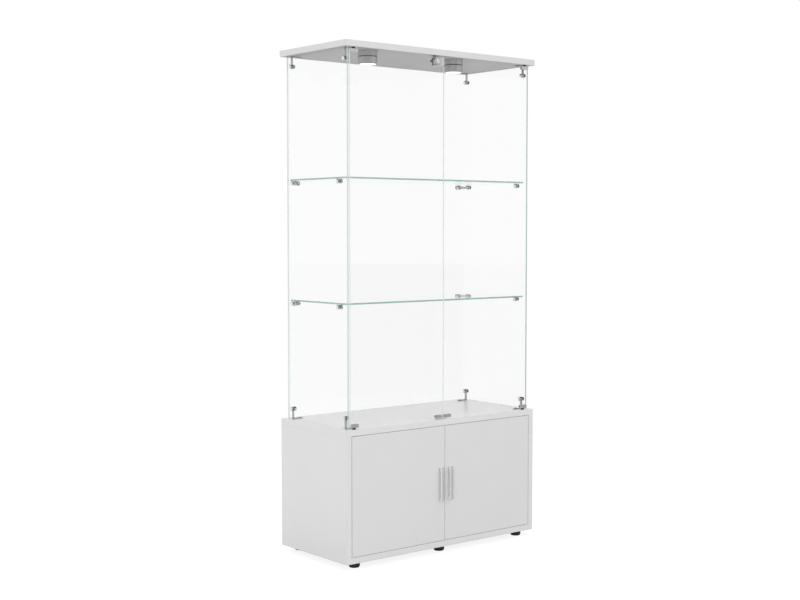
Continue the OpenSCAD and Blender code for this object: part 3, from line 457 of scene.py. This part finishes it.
def float_glass(name, thin_axis, edge_colour, edge_share=0.9, inner_share=0.0, graze=0.9):
    """Clear glass with ground edges that shine pale green: the faces that don't look along the thin axis.

    What is behind a face shows unbent, as through parallel faces. The rest is mirrored: head_on straight
    on, and graze more at a grazing view, with the fifth power of the slant by Schlick's rule. edge_share
    and inner_share say how solid an edge looks from outside and from inside the pane. The level edges of
    upright panes stand on the boards and stay clear.
    """
    head_on = 0.02
    material, tree = new_tree(name)
    normal = add(tree, "ShaderNodeTexCoord").outputs["Normal"]
    parts = add(tree, "ShaderNodeSeparateXYZ", {"Vector": normal}).outputs
    edge = remap(tree, calc(tree, "ABSOLUTE", parts[thin_axis]), 0.8, 0.95, 1.0, 0.0)
    upright = 1.0
    if thin_axis != 2:
        upright = remap(tree, calc(tree, "ABSOLUTE", parts[2]), 0.5, 0.8, 1.0, 0.0)
        edge = calc(tree, "MULTIPLY", edge, upright)
    cloud = noise(tree, object_points(tree, (1, 1, 0.4)), 14.0, 2.0)
    tint = blend(tree, cloud, edge_colour, tuple(0.92 * c for c in edge_colour[:3]) + (1.0,))
    slant = calc(tree, "POWER", add(tree, "ShaderNodeLayerWeight", {"Blend": 0.5}).outputs["Facing"], 5.0)
    mirror = calc(tree, "MULTIPLY_ADD", slant, graze, head_on)
    shine = add(tree, "ShaderNodeBsdfPrincipled", {
        "Base Color": blend(tree, edge, grey(0.955), tint),
        "Metallic": calc(tree, "SUBTRACT", 1.0, edge),
        "Roughness": calc(tree, "MULTIPLY", edge, 0.25),
    }).outputs[0]
    clear = add(tree, "ShaderNodeBsdfTransparent", {"Color": (0.995, 0.996, 0.9955, 1.0)}).outputs[0]
    inside = add(tree, "ShaderNodeNewGeometry").outputs["Backfacing"]
    solid = blend(tree, inside, grey(edge_share), grey(inner_share))
    share = calc(tree, "MULTIPLY", blend(tree, edge, mirror, solid), upright)
    mixed = add(tree, "ShaderNodeMixShader", {0: share, 1: clear, 2: shine}).outputs[0]
    add(tree, "ShaderNodeOutputMaterial", {"Surface": mixed})
    return material


# Thickness of the edge bands
BAND = 0.9 * MM
board_low, board_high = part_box("canopy")
board_planes = [(axis, place) for axis in (0, 1)
                for place in (board_low[axis] + BAND, board_high[axis] - BAND)]
door_low, door_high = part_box("base_door_right")
door_planes = [(2, door_low.z + BAND), (2, door_high.z - BAND)]
door_planes += [(0, sign * place) for sign in (-1, 1) for place in (door_low.x + BAND, door_high.x - BAND)]

finishes = {
    "board": laminate("board_laminate", 0.72, 0.24, 0.45, board_planes),
    # Painted shade: the canopy takes a darker copy of the board laminate, which tones down how brightly it is
    # lit
    "canopy": laminate("shaded_canopy_laminate", 0.685, 0.5, 0.12, board_planes),
    "door": laminate("door_laminate", 0.70, 0.22, 0.4, door_planes),
    "back_panel": hardboard("back_foil", 0.66),
    "feet": moulded("foot_plastic", 0.022, 0.42),
    "bushes": moulded("bush_nylon", 0.02, 0.38),
    "magnets": moulded("magnet_housing", 0.72, 0.5),
    "fittings": zinc_plated("fitting_zinc", 0.6),
    "pull": brushed("pull_aluminium", 0.98, 0.2, (3000.0, 3000.0, 60.0), metallic=0.72),
    "bracket": brushed("bracket_steel", 0.46, 0.26, (2600.0, 2600.0, 90.0)),
    "bolt_cap": plated("bolt_chrome", 0.76, 0.07),
    "clamp": brushed("clamp_steel", 0.69, 0.3, (90.0, 2600.0, 2600.0), metallic=0.78),
    "lock": plated("lock_chrome", 0.72, 0.12),
    "nickel": brushed("satin_nickel", 0.95, 0.3, (2600.0, 2600.0, 2600.0), metallic=0.6),
    "lamp": enamelled("lamp_enamel", 0.41),
    "lens": lit_lens("lamp_lens"),
}

# Colours of the ground glass edges. The left and rear panes take a lighter copy of the tint than the right
# pane of the same glass: painted light on the left, painted shade on the right
LIT_EDGE_TINT = (0.56, 0.68, 0.63, 1.0)
SHADED_EDGE_TINT = (0.42, 0.54, 0.5, 1.0)
DOOR_EDGE = (0.82, 0.89, 0.865, 1.0)
SHELF_EDGE = (0.28, 0.45, 0.41, 1.0)
glass_left = float_glass("left_side_glass", 0, LIT_EDGE_TINT, inner_share=0.6)
glass_right = float_glass("right_side_glass", 0, SHADED_EDGE_TINT)
glass_rear = float_glass("rear_glass", 1, LIT_EDGE_TINT, edge_share=0.1)
glass_doors = float_glass("door_glass", 1, DOOR_EDGE)
glass_shelves = float_glass("shelf_glass", 2, SHELF_EDGE, graze=0.15)

node_finish = {
    "base_side_left": "board", "base_side_right": "board", "base_top_board": "board",
    "base_bottom_board": "board", "canopy": "canopy", "base_back_panel": "back_panel",
    "base_door_left": "door", "base_door_right": "door",
    "front_feet": "feet", "back_feet": "feet",
    "base_door_bushes": "bushes", "glass_door_bushes": "bushes",
    "base_door_magnets": "magnets", "glass_door_magnet": "magnets",
    "pull_left": "pull", "pull_right": "pull",
    "brackets_bottom_left": "bracket", "brackets_bottom_right": "bracket",
    "brackets_top_left": "bracket", "brackets_top_right": "bracket",
    "corner_connector_lower_left": "nickel", "corner_connector_lower_right": "nickel",
    "corner_connector_upper_left": "nickel", "corner_connector_upper_right": "nickel",
    "glass_bolts_left": "bolt_cap", "glass_bolts_right": "bolt_cap",
    "shelf_studs_lower": "bolt_cap", "shelf_studs_upper": "bolt_cap", "connector_bolts": "bolt_cap",
    "door_clamps_left": "clamp", "door_clamps_right": "clamp",
    "strike_plate_left": "clamp", "strike_plate_right": "clamp",
    "lock_case": "lock", "lock_plug": "nickel",
    "lamp_body_left": "lamp", "lamp_body_right": "lamp", "lamp_ring_left": "lamp", "lamp_ring_right": "lamp",
    "lamp_lens_left": "lens", "lamp_lens_right": "lens",
}
node_glass = {
    "glass_side_left": glass_left, "glass_side_right": glass_right, "glass_back": glass_rear,
    "glass_door_left": glass_doors, "glass_door_right": glass_doors,
    "shelf_lower": glass_shelves, "shelf_upper": glass_shelves,
}
for name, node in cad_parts.items():
    finish = node_glass.get(name) or finishes[node_finish.get(name, "fittings")]
    node.data.materials.clear()
    node.data.materials.append(finish)


# Feet, pulls and lamps

CABINET = "cabinet"


def foot_outline(radius, height, stub):
    """(radius, height) from the glide on the floor, over a neck and the body, to the stub in the board."""
    corners = [(1, 0), (radius - 2.6, 0), (radius - 1.8, 2.6), (radius - 2.6, 3.2), (radius - 2.6, 4.2),
               (radius, 4.8), (radius, height - 2.5), (radius - 1.8, height), (5, height), (5, height + stub),
               (1, height + stub)]
    return rounded(corners, [0, 0.8, 0.5, 0.2, 0.2, 0.6, 1.4, 0.4, 0, 0.5, 0])


for row in ("front_feet", "back_feet"):
    low, high = node_box(row)
    radius = (high[1] - low[1]) / 2
    board_under = node_box("base_bottom_board")[0][2]
    outline = foot_outline(radius, board_under, high[2] - board_under)
    places = [(x, low[1] + radius, 0) for x in (low[0] + radius, 0, high[0] - radius)]
    feet = [turned(outline, place, (0, 0, 1)) for place in places]
    make_piece(row + "_turned", feet, CABINET, "feet", (row,))


def bow_outline(front, door, low, high):
    """(y, z) outline of a bow pull: strap and two feet, round at the front and behind the strap."""
    foot = 13
    strap = 11
    outer_r = 9
    inner_r = 4
    corners = [(door, high), (front, high), (front, low), (door, low),
               (door, low + foot), (front + strap, low + foot),
               (front + strap, high - foot), (door, high - foot)]
    return rounded(corners, [0, outer_r, outer_r, 0, 0, inner_r, inner_r, 0], 8)


for side, body in (("left", "base_door_left"), ("right", "base_door_right")):
    low, high = node_box("pull_" + side)
    bow = extruded(bow_outline(low[1], high[1], low[2], high[2]), low[0], high[0], "yzx")
    make_piece("bow_pull_" + side, [bow], body, "pull", ("pull_" + side,), ease=0.9)


def lamp_parts(side):
    """Turned body, a black ring that paints the shade of the groove between body and ring, the ring and the
    lens of one lamp, as outlines of (radius, height).
    """
    body_low, body_high = node_box("lamp_body_" + side)
    ring_low, ring_high = node_box("lamp_ring_" + side)
    lens_low, lens_high = node_box("lamp_lens_" + side)
    centre = ((body_low[0] + body_high[0]) / 2, (body_low[1] + body_high[1]) / 2, 0)
    radius = (body_high[0] - body_low[0]) / 2
    neck = radius - 3.5
    top = body_high[2]
    joint = ring_high[2]
    lens_radius = (lens_high[0] - lens_low[0]) / 2
    body = rounded([(1, top), (radius, top), (radius, joint + 2.2), (neck, joint + 2.2), (neck, body_low[2]),
                    (neck - 3, body_low[2]), (neck - 3, joint - 2), (1, joint - 2)],
                   [0, 0.5, 0.5, 0, 0, 0, 0, 0])
    # Painted shade: a black ring in the groove between body and ring stands in for the groove's shade
    groove_shade = rounded([(neck, joint + 2.1), (radius - 1.2, joint + 2.1), (radius - 1.2, joint - 0.9),
                    (neck, joint - 0.9)], 0.3)
    lip = lens_radius - 2.4
    ledge = lens_radius - 2
    seat = lens_radius + 0.1
    ring = rounded([(radius, joint - 1), (radius, ring_low[2]), (lip, ring_low[2]), (lip, lens_low[2]),
                    (seat, lens_low[2]), (seat, lens_high[2]), (ledge, lens_high[2]),
                    (ledge, body_low[2]), (neck + 0.05, body_low[2]), (neck + 0.05, joint - 1)],
                   [0.5, 1, 0.3, 0, 0, 0, 0, 0, 0, 0])
    across = np.linspace(lens_radius, 1, 90)
    ridges = lens_low[2] + 0.05 + 0.2 * (1 - np.cos(across * 2.4))
    lens = np.concatenate([[(1, lens_high[2]), (lens_radius, lens_high[2])], np.stack([across, ridges], 1)])
    return centre, body, groove_shade, ring, lens


for side in ("left", "right"):
    centre, body, groove_shade, ring, lens = lamp_parts(side)
    up = (0, 0, 1)
    make_piece("lamp_shell_" + side, [turned(body, centre, up)], CABINET, "lamp", ("lamp_body_" + side,))
    # Black ring of painted shade in the lamp's groove
    make_piece("lamp_groove_shade_" + side, [turned(groove_shade, centre, up, closed=True)], CABINET, "bushes")
    make_piece("lamp_collar_" + side, [turned(ring, centre, up, closed=True)], CABINET, "lamp",
               ("lamp_ring_" + side,))
    make_piece("lamp_glass_" + side, [turned(lens, centre, up)], CABINET, "lens", ("lamp_lens_" + side,))


# Bolts and screws

def dome(radius, rim, top, steps=12):
    """(radius, height) points of a quarter ellipse from close to its middle at the top down to its rim."""
    angle = np.linspace(math.asin(1 / radius), math.pi / 2, steps)
    return np.stack([radius * np.sin(angle), rim + (top - rim) * np.cos(angle)], 1)


def bolt(place, axis, radius, cap, grip, nut):
    """One glass bolt: domed cap on the glass at height 0, shank, and domed nut on the inner side."""
    shank = 4
    groove = 0.6
    cap_rim = 0.35 * cap
    nut_dome = 3
    neck = radius - 0.9
    end = -grip - nut
    middle = [(radius, groove), (neck, groove), (neck, 0), (shank, 0), (shank, -grip), (neck, -grip),
              (neck, -grip - groove), (radius, -grip - groove)]
    outline = np.concatenate([dome(radius, cap_rim, cap), middle, dome(radius, end + nut_dome, end)[::-1]])
    return turned(outline, place, axis)


pane_low, pane_high = node_box("glass_side_right")
back_low, back_high = node_box("glass_back")
PANE = pane_high[0] - pane_low[0]
OUT = (1, 0, 0)

# Bracket bolts: cap outside, nut on the bracket's eye
low, high = node_box("glass_bolts_right")
bracket_t = 3
bracket_bolt_r = 8
bracket_ys = (low[1] + bracket_bolt_r, high[1] - bracket_bolt_r)
bracket_zs = (low[2] + bracket_bolt_r, high[2] - bracket_bolt_r)
bracket_bolts = [bolt((pane_high[0], y, z), OUT, bracket_bolt_r, high[0] - pane_high[0], PANE + bracket_t,
                      pane_low[0] - bracket_t - low[0]) for y in bracket_ys for z in bracket_zs]
make_piece("chrome_bolts_right", bracket_bolts, CABINET, "bolt_cap", ("glass_bolts_right",))
make_piece("chrome_bolts_left", on_left(bracket_bolts), CABINET, "bolt_cap", ("glass_bolts_left",))

# Shelf studs
stud_r = 8.5
stud_inner = 12
for level in ("lower", "upper"):
    low, high = node_box("shelf_studs_" + level)
    place = (pane_high[0], low[1] + stud_r, low[2] + stud_r)
    stud = bolt(place, OUT, stud_r, high[0] - pane_high[0], PANE, stud_inner)
    make_piece("chrome_studs_" + level, [stud] + on_left([stud]), CABINET, "bolt_cap",
               ("shelf_studs_" + level,))

# Corner connectors: a bent strap with two eyes, and a bolt through each pane
strap_t = 2.5
strap_h = 10
bend_r = 2.5
nut_t = stud_inner - strap_t
connector_bolts = []
for level in ("lower", "upper"):
    low, high = node_box("corner_connector_" + level + "_right")
    middle_z = low[2] + stud_r
    side_y = low[1] + stud_r
    back_x = low[0] + stud_r
    inner_x = pane_low[0] - strap_t / 2
    inner_y = back_low[1] - strap_t / 2
    path = bent_path((inner_x, side_y), (inner_x, inner_y), (back_x, inner_y), bend_r)
    strap = strip(path, np.full(len(path), strap_h / 2), strap_t, 0.5, "xyz")
    strap = moved(strap, (0, 0, middle_z))
    eye = rounded([(1, 0), (stud_r, 0), (stud_r, strap_t), (1, strap_t)], [0, 0.5, 0.5, 0])
    eyes = [turned(eye, (pane_low[0] - strap_t, side_y, middle_z), (1, 0, 0)),
            turned(eye, (back_x, back_low[1] - strap_t, middle_z), (0, 1, 0))]
    connector = [strap] + eyes
    for side, shells in (("right", connector), ("left", on_left(connector))):
        make_piece("corner_strap_" + level + "_" + side, shells, CABINET, "bracket",
                   ("corner_connector_" + level + "_" + side,), finish=finishes["nickel"])
    cap = node_box("connector_bolts")[1][0] - pane_high[0]
    connector_bolts += [bolt((pane_high[0], side_y, middle_z), OUT, stud_r, cap, PANE + strap_t, nut_t),
                        bolt((back_x, back_high[1], middle_z), (0, 1, 0), stud_r, cap, PANE + strap_t, nut_t)]
make_piece("chrome_connector_bolts", connector_bolts + on_left(connector_bolts), CABINET, "bolt_cap",
           ("connector_bolts",))


def screw_outline(head_r, head_t, shank_r, shank_l):
    """(radius, height) of a pan-head screw from its tip to the cross recess in its head.

    Height 0 is under the head.
    """
    corners = [(0.6, -shank_l), (shank_r, 0.6 - shank_l), (shank_r, 0), (head_r, 0), (head_r, head_t),
               (0.62 * head_r, head_t)]
    outline = rounded(corners, [0, 0, 0, 0.2, 0.7 * head_t, 0.1])
    return np.concatenate([outline, [(0.55 * head_r, head_t - 0.1), (0.4 * head_r, 0.35 * head_t)]])


# Corner brackets: a foot on the board, a bend and a leg up the pane to an eye
base_top = node_box("base_top_board")[1][2]
canopy_under = node_box("canopy")[0][2]
low, high = node_box("brackets_bottom_right")
leg_x = pane_low[0] - bracket_t / 2
foot_z = base_top + bracket_t / 2
bracket_half_w = 5.0
path = bent_path((low[0], foot_z), (leg_x, foot_z), (leg_x, bracket_zs[0]), bend_r)
bar = strip(path, round_ended(path, bracket_half_w), bracket_t, 0.6, "xzy")
eye = rounded([(1, 0), (bracket_bolt_r, 0), (bracket_bolt_r, bracket_t), (1, bracket_t)], [0, 0.6, 0.6, 0])
eye = turned(eye, (pane_low[0] - bracket_t, 0, bracket_zs[0]), (1, 0, 0))
brackets = [moved(shell, (0, y, 0)) for shell in (bar, eye) for y in bracket_ys]
screw_head_r = 3.6
screw_head_t = 1.8
screw_shank_r = 2.0
screw_shank_l = 17
screw_x = node_box("bracket_screws")[1][0] - screw_head_r
head = screw_outline(screw_head_r, screw_head_t, screw_shank_r, screw_shank_l)
screws = [turned(head, (screw_x, y, base_top + bracket_t), (0, 0, 1), cross_hole, 2) for y in bracket_ys]


def under_canopy(shells):
    """The shells that stand on the base, turned upside down under the canopy."""
    return [moved(shell, (0, 0, base_top + canopy_under), (1, 1, -1)) for shell in shells]


for level, place in (("bottom", list), ("top", under_canopy)):
    for side, turn in (("right", list), ("left", on_left)):
        make_piece("bent_bracket_" + level + "_" + side, turn(place(brackets)), CABINET, "bracket",
                   ("brackets_" + level + "_" + side,))
all_screws = screws + under_canopy(screws)
make_piece("cross_screws", all_screws + on_left(all_screws), CABINET, "fittings", ("bracket_screws",))

# Pull screws
for side, body in (("left", "base_door_left"), ("right", "base_door_right")):
    low, high = node_box("pull_screws_" + side)
    head_r = (high[0] - low[0]) / 2
    under_head = node_box("base_door_" + side)[1][1]
    head = screw_outline(head_r, high[1] - under_head, screw_shank_r, under_head - low[1])
    heads = [turned(head, ((low[0] + high[0]) / 2, under_head, z), (0, 1, 0), cross_hole, 2)
             for z in (low[2] + head_r, high[2] - head_r)]
    make_piece("cross_pull_screws_" + side, heads, body, "fittings", ("pull_screws_" + side,))


# Clamps of the glass doors

def clamp_outline(y_low, y_high, z_low, z_high, slot_low, slot_high, web):
    """(y, z) outline of a U-shaped clamp over the edge of a pane: two cheeks, a slot and a web."""
    corners = [(y_low, z_low), (y_high, z_low), (y_high, z_high), (slot_high, z_high),
               (slot_high, z_low + web), (slot_low, z_low + web), (slot_low, z_high), (y_low, z_high)]
    return np.array(corners)


# Clamps: web under the glass, height, pivot pin and places of the set screws; strike plates: height and drop
CLAMP_WEB = 3.5
CLAMP_H = 12
PIN_R = 3
PIN_L = 12
SET_SCREW_X = 8.5
PLATE_H = 11.0
PLATE_DROP = 1.0
for side, body in (("left", "glass_door_left"), ("right", "glass_door_right")):
    low, high = node_box("door_clamps_" + side)
    door_low, door_high = node_box("glass_door_" + side)
    clamp_z = door_low[2] - CLAMP_WEB
    outline = clamp_outline(low[1], high[1], clamp_z, clamp_z + CLAMP_H, door_low[1], door_high[1], CLAMP_WEB)
    clamp = extruded(outline, low[0], high[0], "yzx")
    middle_x = (low[0] + high[0]) / 2
    middle_y = (low[1] + high[1]) / 2
    pin = rounded([(1, -PIN_L), (PIN_R, -PIN_L), (PIN_R, 1), (1, 1)], [0, 0.5, 0, 0])
    pin = turned(pin, (middle_x, middle_y, clamp_z), (0, 0, 1))
    set_screw = np.concatenate([rounded([(1, -1), (3.0, -1), (3.0, 0.3), (1.9, 0.3)], [0, 0, 0.25, 0]),
                                [(1.5, 0.1), (1.5, -0.9)]])
    screw_z = (door_low[2] + clamp_z + CLAMP_H) / 2
    set_screws = [turned(set_screw, (x, high[1] - 0.3, screw_z), (0, 1, 0), hex_hole, 2)
                  for x in (middle_x - SET_SCREW_X, middle_x + SET_SCREW_X)]
    lower = [clamp, pin] + set_screws
    make_piece("hinge_clamps_" + side, lower + under_canopy(lower), body, "clamp",
               ("door_clamps_" + side,), ease=0.5)
    low, high = node_box("strike_plate_" + side)
    plate_z = low[2] - PLATE_DROP
    outline = clamp_outline(low[1], high[1], plate_z, plate_z + PLATE_H, door_low[1], door_high[1],
                            CLAMP_WEB + PLATE_DROP)
    plate = extruded(outline, low[0], high[0], "yzx")
    make_piece("edge_plate_" + side, [plate], body, "clamp", ("strike_plate_" + side,), ease=0.5)

# Magnet block behind the strike plates: rounded in plan, with two round poles towards the plates
low, high = node_box("glass_door_magnet")
plate_top = node_box("strike_plate_left")[0][2] - PLATE_DROP + PLATE_H
block_r = 2.5
block_drop = 1.5
block_corners = [(low[0], low[1]), (high[0], low[1]), (high[0], high[1]), (low[0], high[1])]
block = extruded(rounded(block_corners, block_r, 6), low[2], plate_top - block_drop, "xyz")
pole_r = 3.5
pole_x = 10
pole = rounded([(1, -2), (pole_r, -2), (pole_r, 0.1), (1, 0.1)], [0, 0, 0.05, 0])
pole_z = (low[2] + plate_top) / 2
poles = [turned(pole, (x, low[1], pole_z), (0, -1, 0)) for x in (-pole_x, pole_x)]
make_piece("magnet_block", [block], CABINET, "magnets", ("glass_door_magnet",), ease=0.5)
make_piece("magnet_poles", poles, CABINET, "fittings")

# Bezel of the lock: a raised ring round the plug
case_low = node_box("lock_case")[0]
plug_low, plug_high = node_box("lock_plug")
plug_r = (plug_high[0] - plug_low[0]) / 2
bezel_gap = 0.8
bezel_r = min(plug_low[0] + plug_r - case_low[0] - 0.5, 15.0)
swell = np.linspace(0, math.pi, 14)
middle_r = (bezel_r + plug_r + bezel_gap) / 2
half_w = (bezel_r - plug_r - bezel_gap) / 2
bezel_t = case_low[1] - plug_low[1] - 0.1
bezel = np.stack([middle_r + half_w * np.cos(swell), bezel_t * np.sin(swell)], 1)
bezel = np.concatenate([bezel, [(middle_r - half_w, -0.4), (middle_r + half_w, -0.4)]])
place = (plug_low[0] + plug_r, case_low[1], plug_low[2] + plug_r)
make_piece("lock_bezel", [turned(bezel, place, (0, -1, 0), closed=True)], "glass_door_left", "lock")

# Shelves with ground edges
shelf_round = 4
for level in ("lower", "upper"):
    low, high = node_box("shelf_" + level)
    corners = [(low[0], low[1]), (high[0], low[1]), (high[0], high[1]), (low[0], high[1])]
    outline = rounded(corners, shelf_round, 8)
    pane = extruded(outline, low[2], high[2], "xyz")
    make_piece("glass_shelf_" + level, [pane], CABINET, "glass", ("shelf_" + level,), ease=0.6,
               finish=glass_shelves)


# Studio

def soft_lamp(name, place, aim, size, power):
    """Square area lamp at place, turned towards aim."""
    light = bpy.data.lights.new(name, "AREA")
    light.shape = "SQUARE"
    light.size = size
    light.energy = power
    lamp = bpy.data.objects.new(name, light)
    bpy.context.scene.collection.objects.link(lamp)
    lamp.location = place
    along = np.asarray(aim, float) - np.asarray(place, float)
    tilt = math.atan2(np.hypot(along[0], along[1]), -along[2])
    lamp.rotation_euler = (tilt, 0, math.atan2(-along[0], along[1]))
    lamp.visible_camera = False
    lamp.visible_glossy = False
    return lamp


soft_lamp("key", (-5.0, -4.6, 1.1), (0, 0, 0.6), 3.0, 146)
soft_lamp("fill", (1.8, -6.6, 0.9), (0, 0, 0.5), 3.0, 116)
soft_lamp("rim", (4.4, 5.2, 1.5), (0, 0, 0.8), 3.0, 140)
soft_lamp("rear", (-5.0, 4.6, 1.5), (0, 0, 0.8), 3.0, 95)


def towards(tree, direction, azimuth):
    """Dot product of a direction with the level direction at an azimuth in degrees."""
    turn = math.radians(azimuth)
    inputs = {0: direction, 1: (math.cos(turn), math.sin(turn), 0.0)}
    return add(tree, "ShaderNodeVectorMath", inputs, operation="DOT_PRODUCT").outputs["Value"]


def studio_world():
    """White to the camera and through glass, a soft grey sky for the light, and a room for the metal.

    Metal sees a dark room with a white backdrop all round behind the cabinet, one soft panel at the front
    right and one overhead.
    """
    world = bpy.data.worlds.new("studio")
    bpy.context.scene.world = world
    world.use_nodes = True
    tree = world.node_tree
    tree.nodes.clear()
    direction = add(tree, "ShaderNodeTexCoord").outputs["Generated"]
    height = add(tree, "ShaderNodeSeparateXYZ", {"Vector": direction}).outputs[2]
    low_band = remap(tree, height, 0.35, 0.55, 1.0, 0.0)
    backdrop = remap(tree, towards(tree, direction, 95), -0.25, 0.05, 0.0, 1.0)
    panel = remap(tree, towards(tree, direction, -51), 0.8, 0.92, 0.0, 0.75)
    overhead = remap(tree, height, 0.82, 0.9, 0.0, 1.0)
    level = calc(tree, "MULTIPLY", low_band, calc(tree, "MAXIMUM", backdrop, panel))
    lit = calc(tree, "MAXIMUM", level, overhead)
    room = blend(tree, lit, grey(0.05), grey(1.0))
    path = add(tree, "ShaderNodeLightPath").outputs
    seen = calc(tree, "MAXIMUM", path["Is Camera Ray"], path["Is Transmission Ray"])
    dome = blend(tree, remap(tree, height, 0.0, 1.0, 0.0, 1.0), grey(0.73), grey(1.05))
    sky = blend(tree, path["Is Glossy Ray"], dome, room)
    colour = blend(tree, seen, sky, grey(1.0))
    background = add(tree, "ShaderNodeBackground", {"Color": colour, "Strength": 1.0}).outputs[0]
    add(tree, "ShaderNodeOutputWorld", {"Surface": background})


studio_world()


def studio_floor():
    """Round pale floor on a polar grid; further out it fades to the white of the background."""
    ring_count = 12
    steps = 64
    reach = 40.0
    radius = np.linspace(0, 1, ring_count)[1:, None] ** 2 * reach
    angle = 2 * math.pi * np.arange(steps)[None, :] / steps
    rings = np.stack(np.broadcast_arrays(radius * np.cos(angle), radius * np.sin(angle), 0.0), -1)
    corners = grid_corners(ring_count - 1, steps, False).reshape(-1, 4)
    mesh = bpy.data.meshes.new("floor")
    mesh.from_pydata(rings.reshape(-1, 3), [], corners.tolist() + [np.arange(steps).tolist()])
    floor = bpy.data.objects.new("floor", mesh)
    bpy.context.scene.collection.objects.link(floor)
    material, tree = new_tree("pale_floor")
    points = add(tree, "ShaderNodeTexCoord").outputs["Object"]
    distance = add(tree, "ShaderNodeVectorMath", {0: points}, operation="LENGTH").outputs["Value"]
    depth = add(tree, "ShaderNodeSeparateXYZ", {"Vector": points}).outputs[1]
    behind = remap(tree, depth, -0.3, 0.3, 0.0, 1.0)
    path = add(tree, "ShaderNodeLightPath").outputs
    mirrored = path["Is Glossy Ray"]
    seen = calc(tree, "MAXIMUM", path["Is Camera Ray"], path["Is Transmission Ray"])
    paper = noise(tree, object_points(tree), 30.0, 4.0)
    pale = blend(tree, paper, grey(0.36), grey(0.4))
    paint = add(tree, "ShaderNodeBsdfDiffuse", {"Color": blend(tree, seen, pale, grey(0.19))}).outputs[0]
    lift = calc(tree, "MULTIPLY", seen, 0.86)
    glow = add(tree, "ShaderNodeEmission", {"Color": grey(1.0), "Strength": lift}).outputs[0]
    near = add(tree, "ShaderNodeAddShader", {0: paint, 1: glow}).outputs[0]
    room = blend(tree, behind, grey(0.28), grey(1.0))
    far = add(tree, "ShaderNodeEmission", {"Color": blend(tree, mirrored, grey(1.0), room)}).outputs[0]
    far_seen = calc(tree, "MULTIPLY", seen, remap(tree, distance, 1.2, 3.0, 0.0, 1.0))
    far_mirrored = calc(tree, "MULTIPLY", mirrored, remap(tree, distance, 0.4, 1.2, 0.0, 1.0))
    share = calc(tree, "MAXIMUM", far_seen, far_mirrored)
    both = add(tree, "ShaderNodeMixShader", {0: share, 1: near, 2: far}).outputs[0]
    add(tree, "ShaderNodeOutputMaterial", {"Surface": both})
    material.cycles.emission_sampling = "NONE"
    mesh.materials.append(material)


studio_floor()

# Camera at the photograph's viewing angle
TURN = -39.099
LOOK_DOWN = 3.066
camera_data = bpy.data.cameras.new("camera")
camera_data.lens = 60.19
camera_data.sensor_width = 36.0
camera_data.clip_end = 100.0
camera = bpy.data.objects.new("camera", camera_data)
camera.location = (-3.1960, -3.8627, 1.1875)
camera.rotation_euler = (math.radians(90 - LOOK_DOWN), 0, math.radians(TURN))
bpy.context.scene.collection.objects.link(camera)
bpy.context.scene.camera = camera

scene = bpy.context.scene
scene.view_settings.view_transform = "Standard"
scene.cycles.max_bounces = 20
scene.cycles.glossy_bounces = 12
scene.cycles.transmission_bounces = 16
scene.cycles.transparent_max_bounces = 24
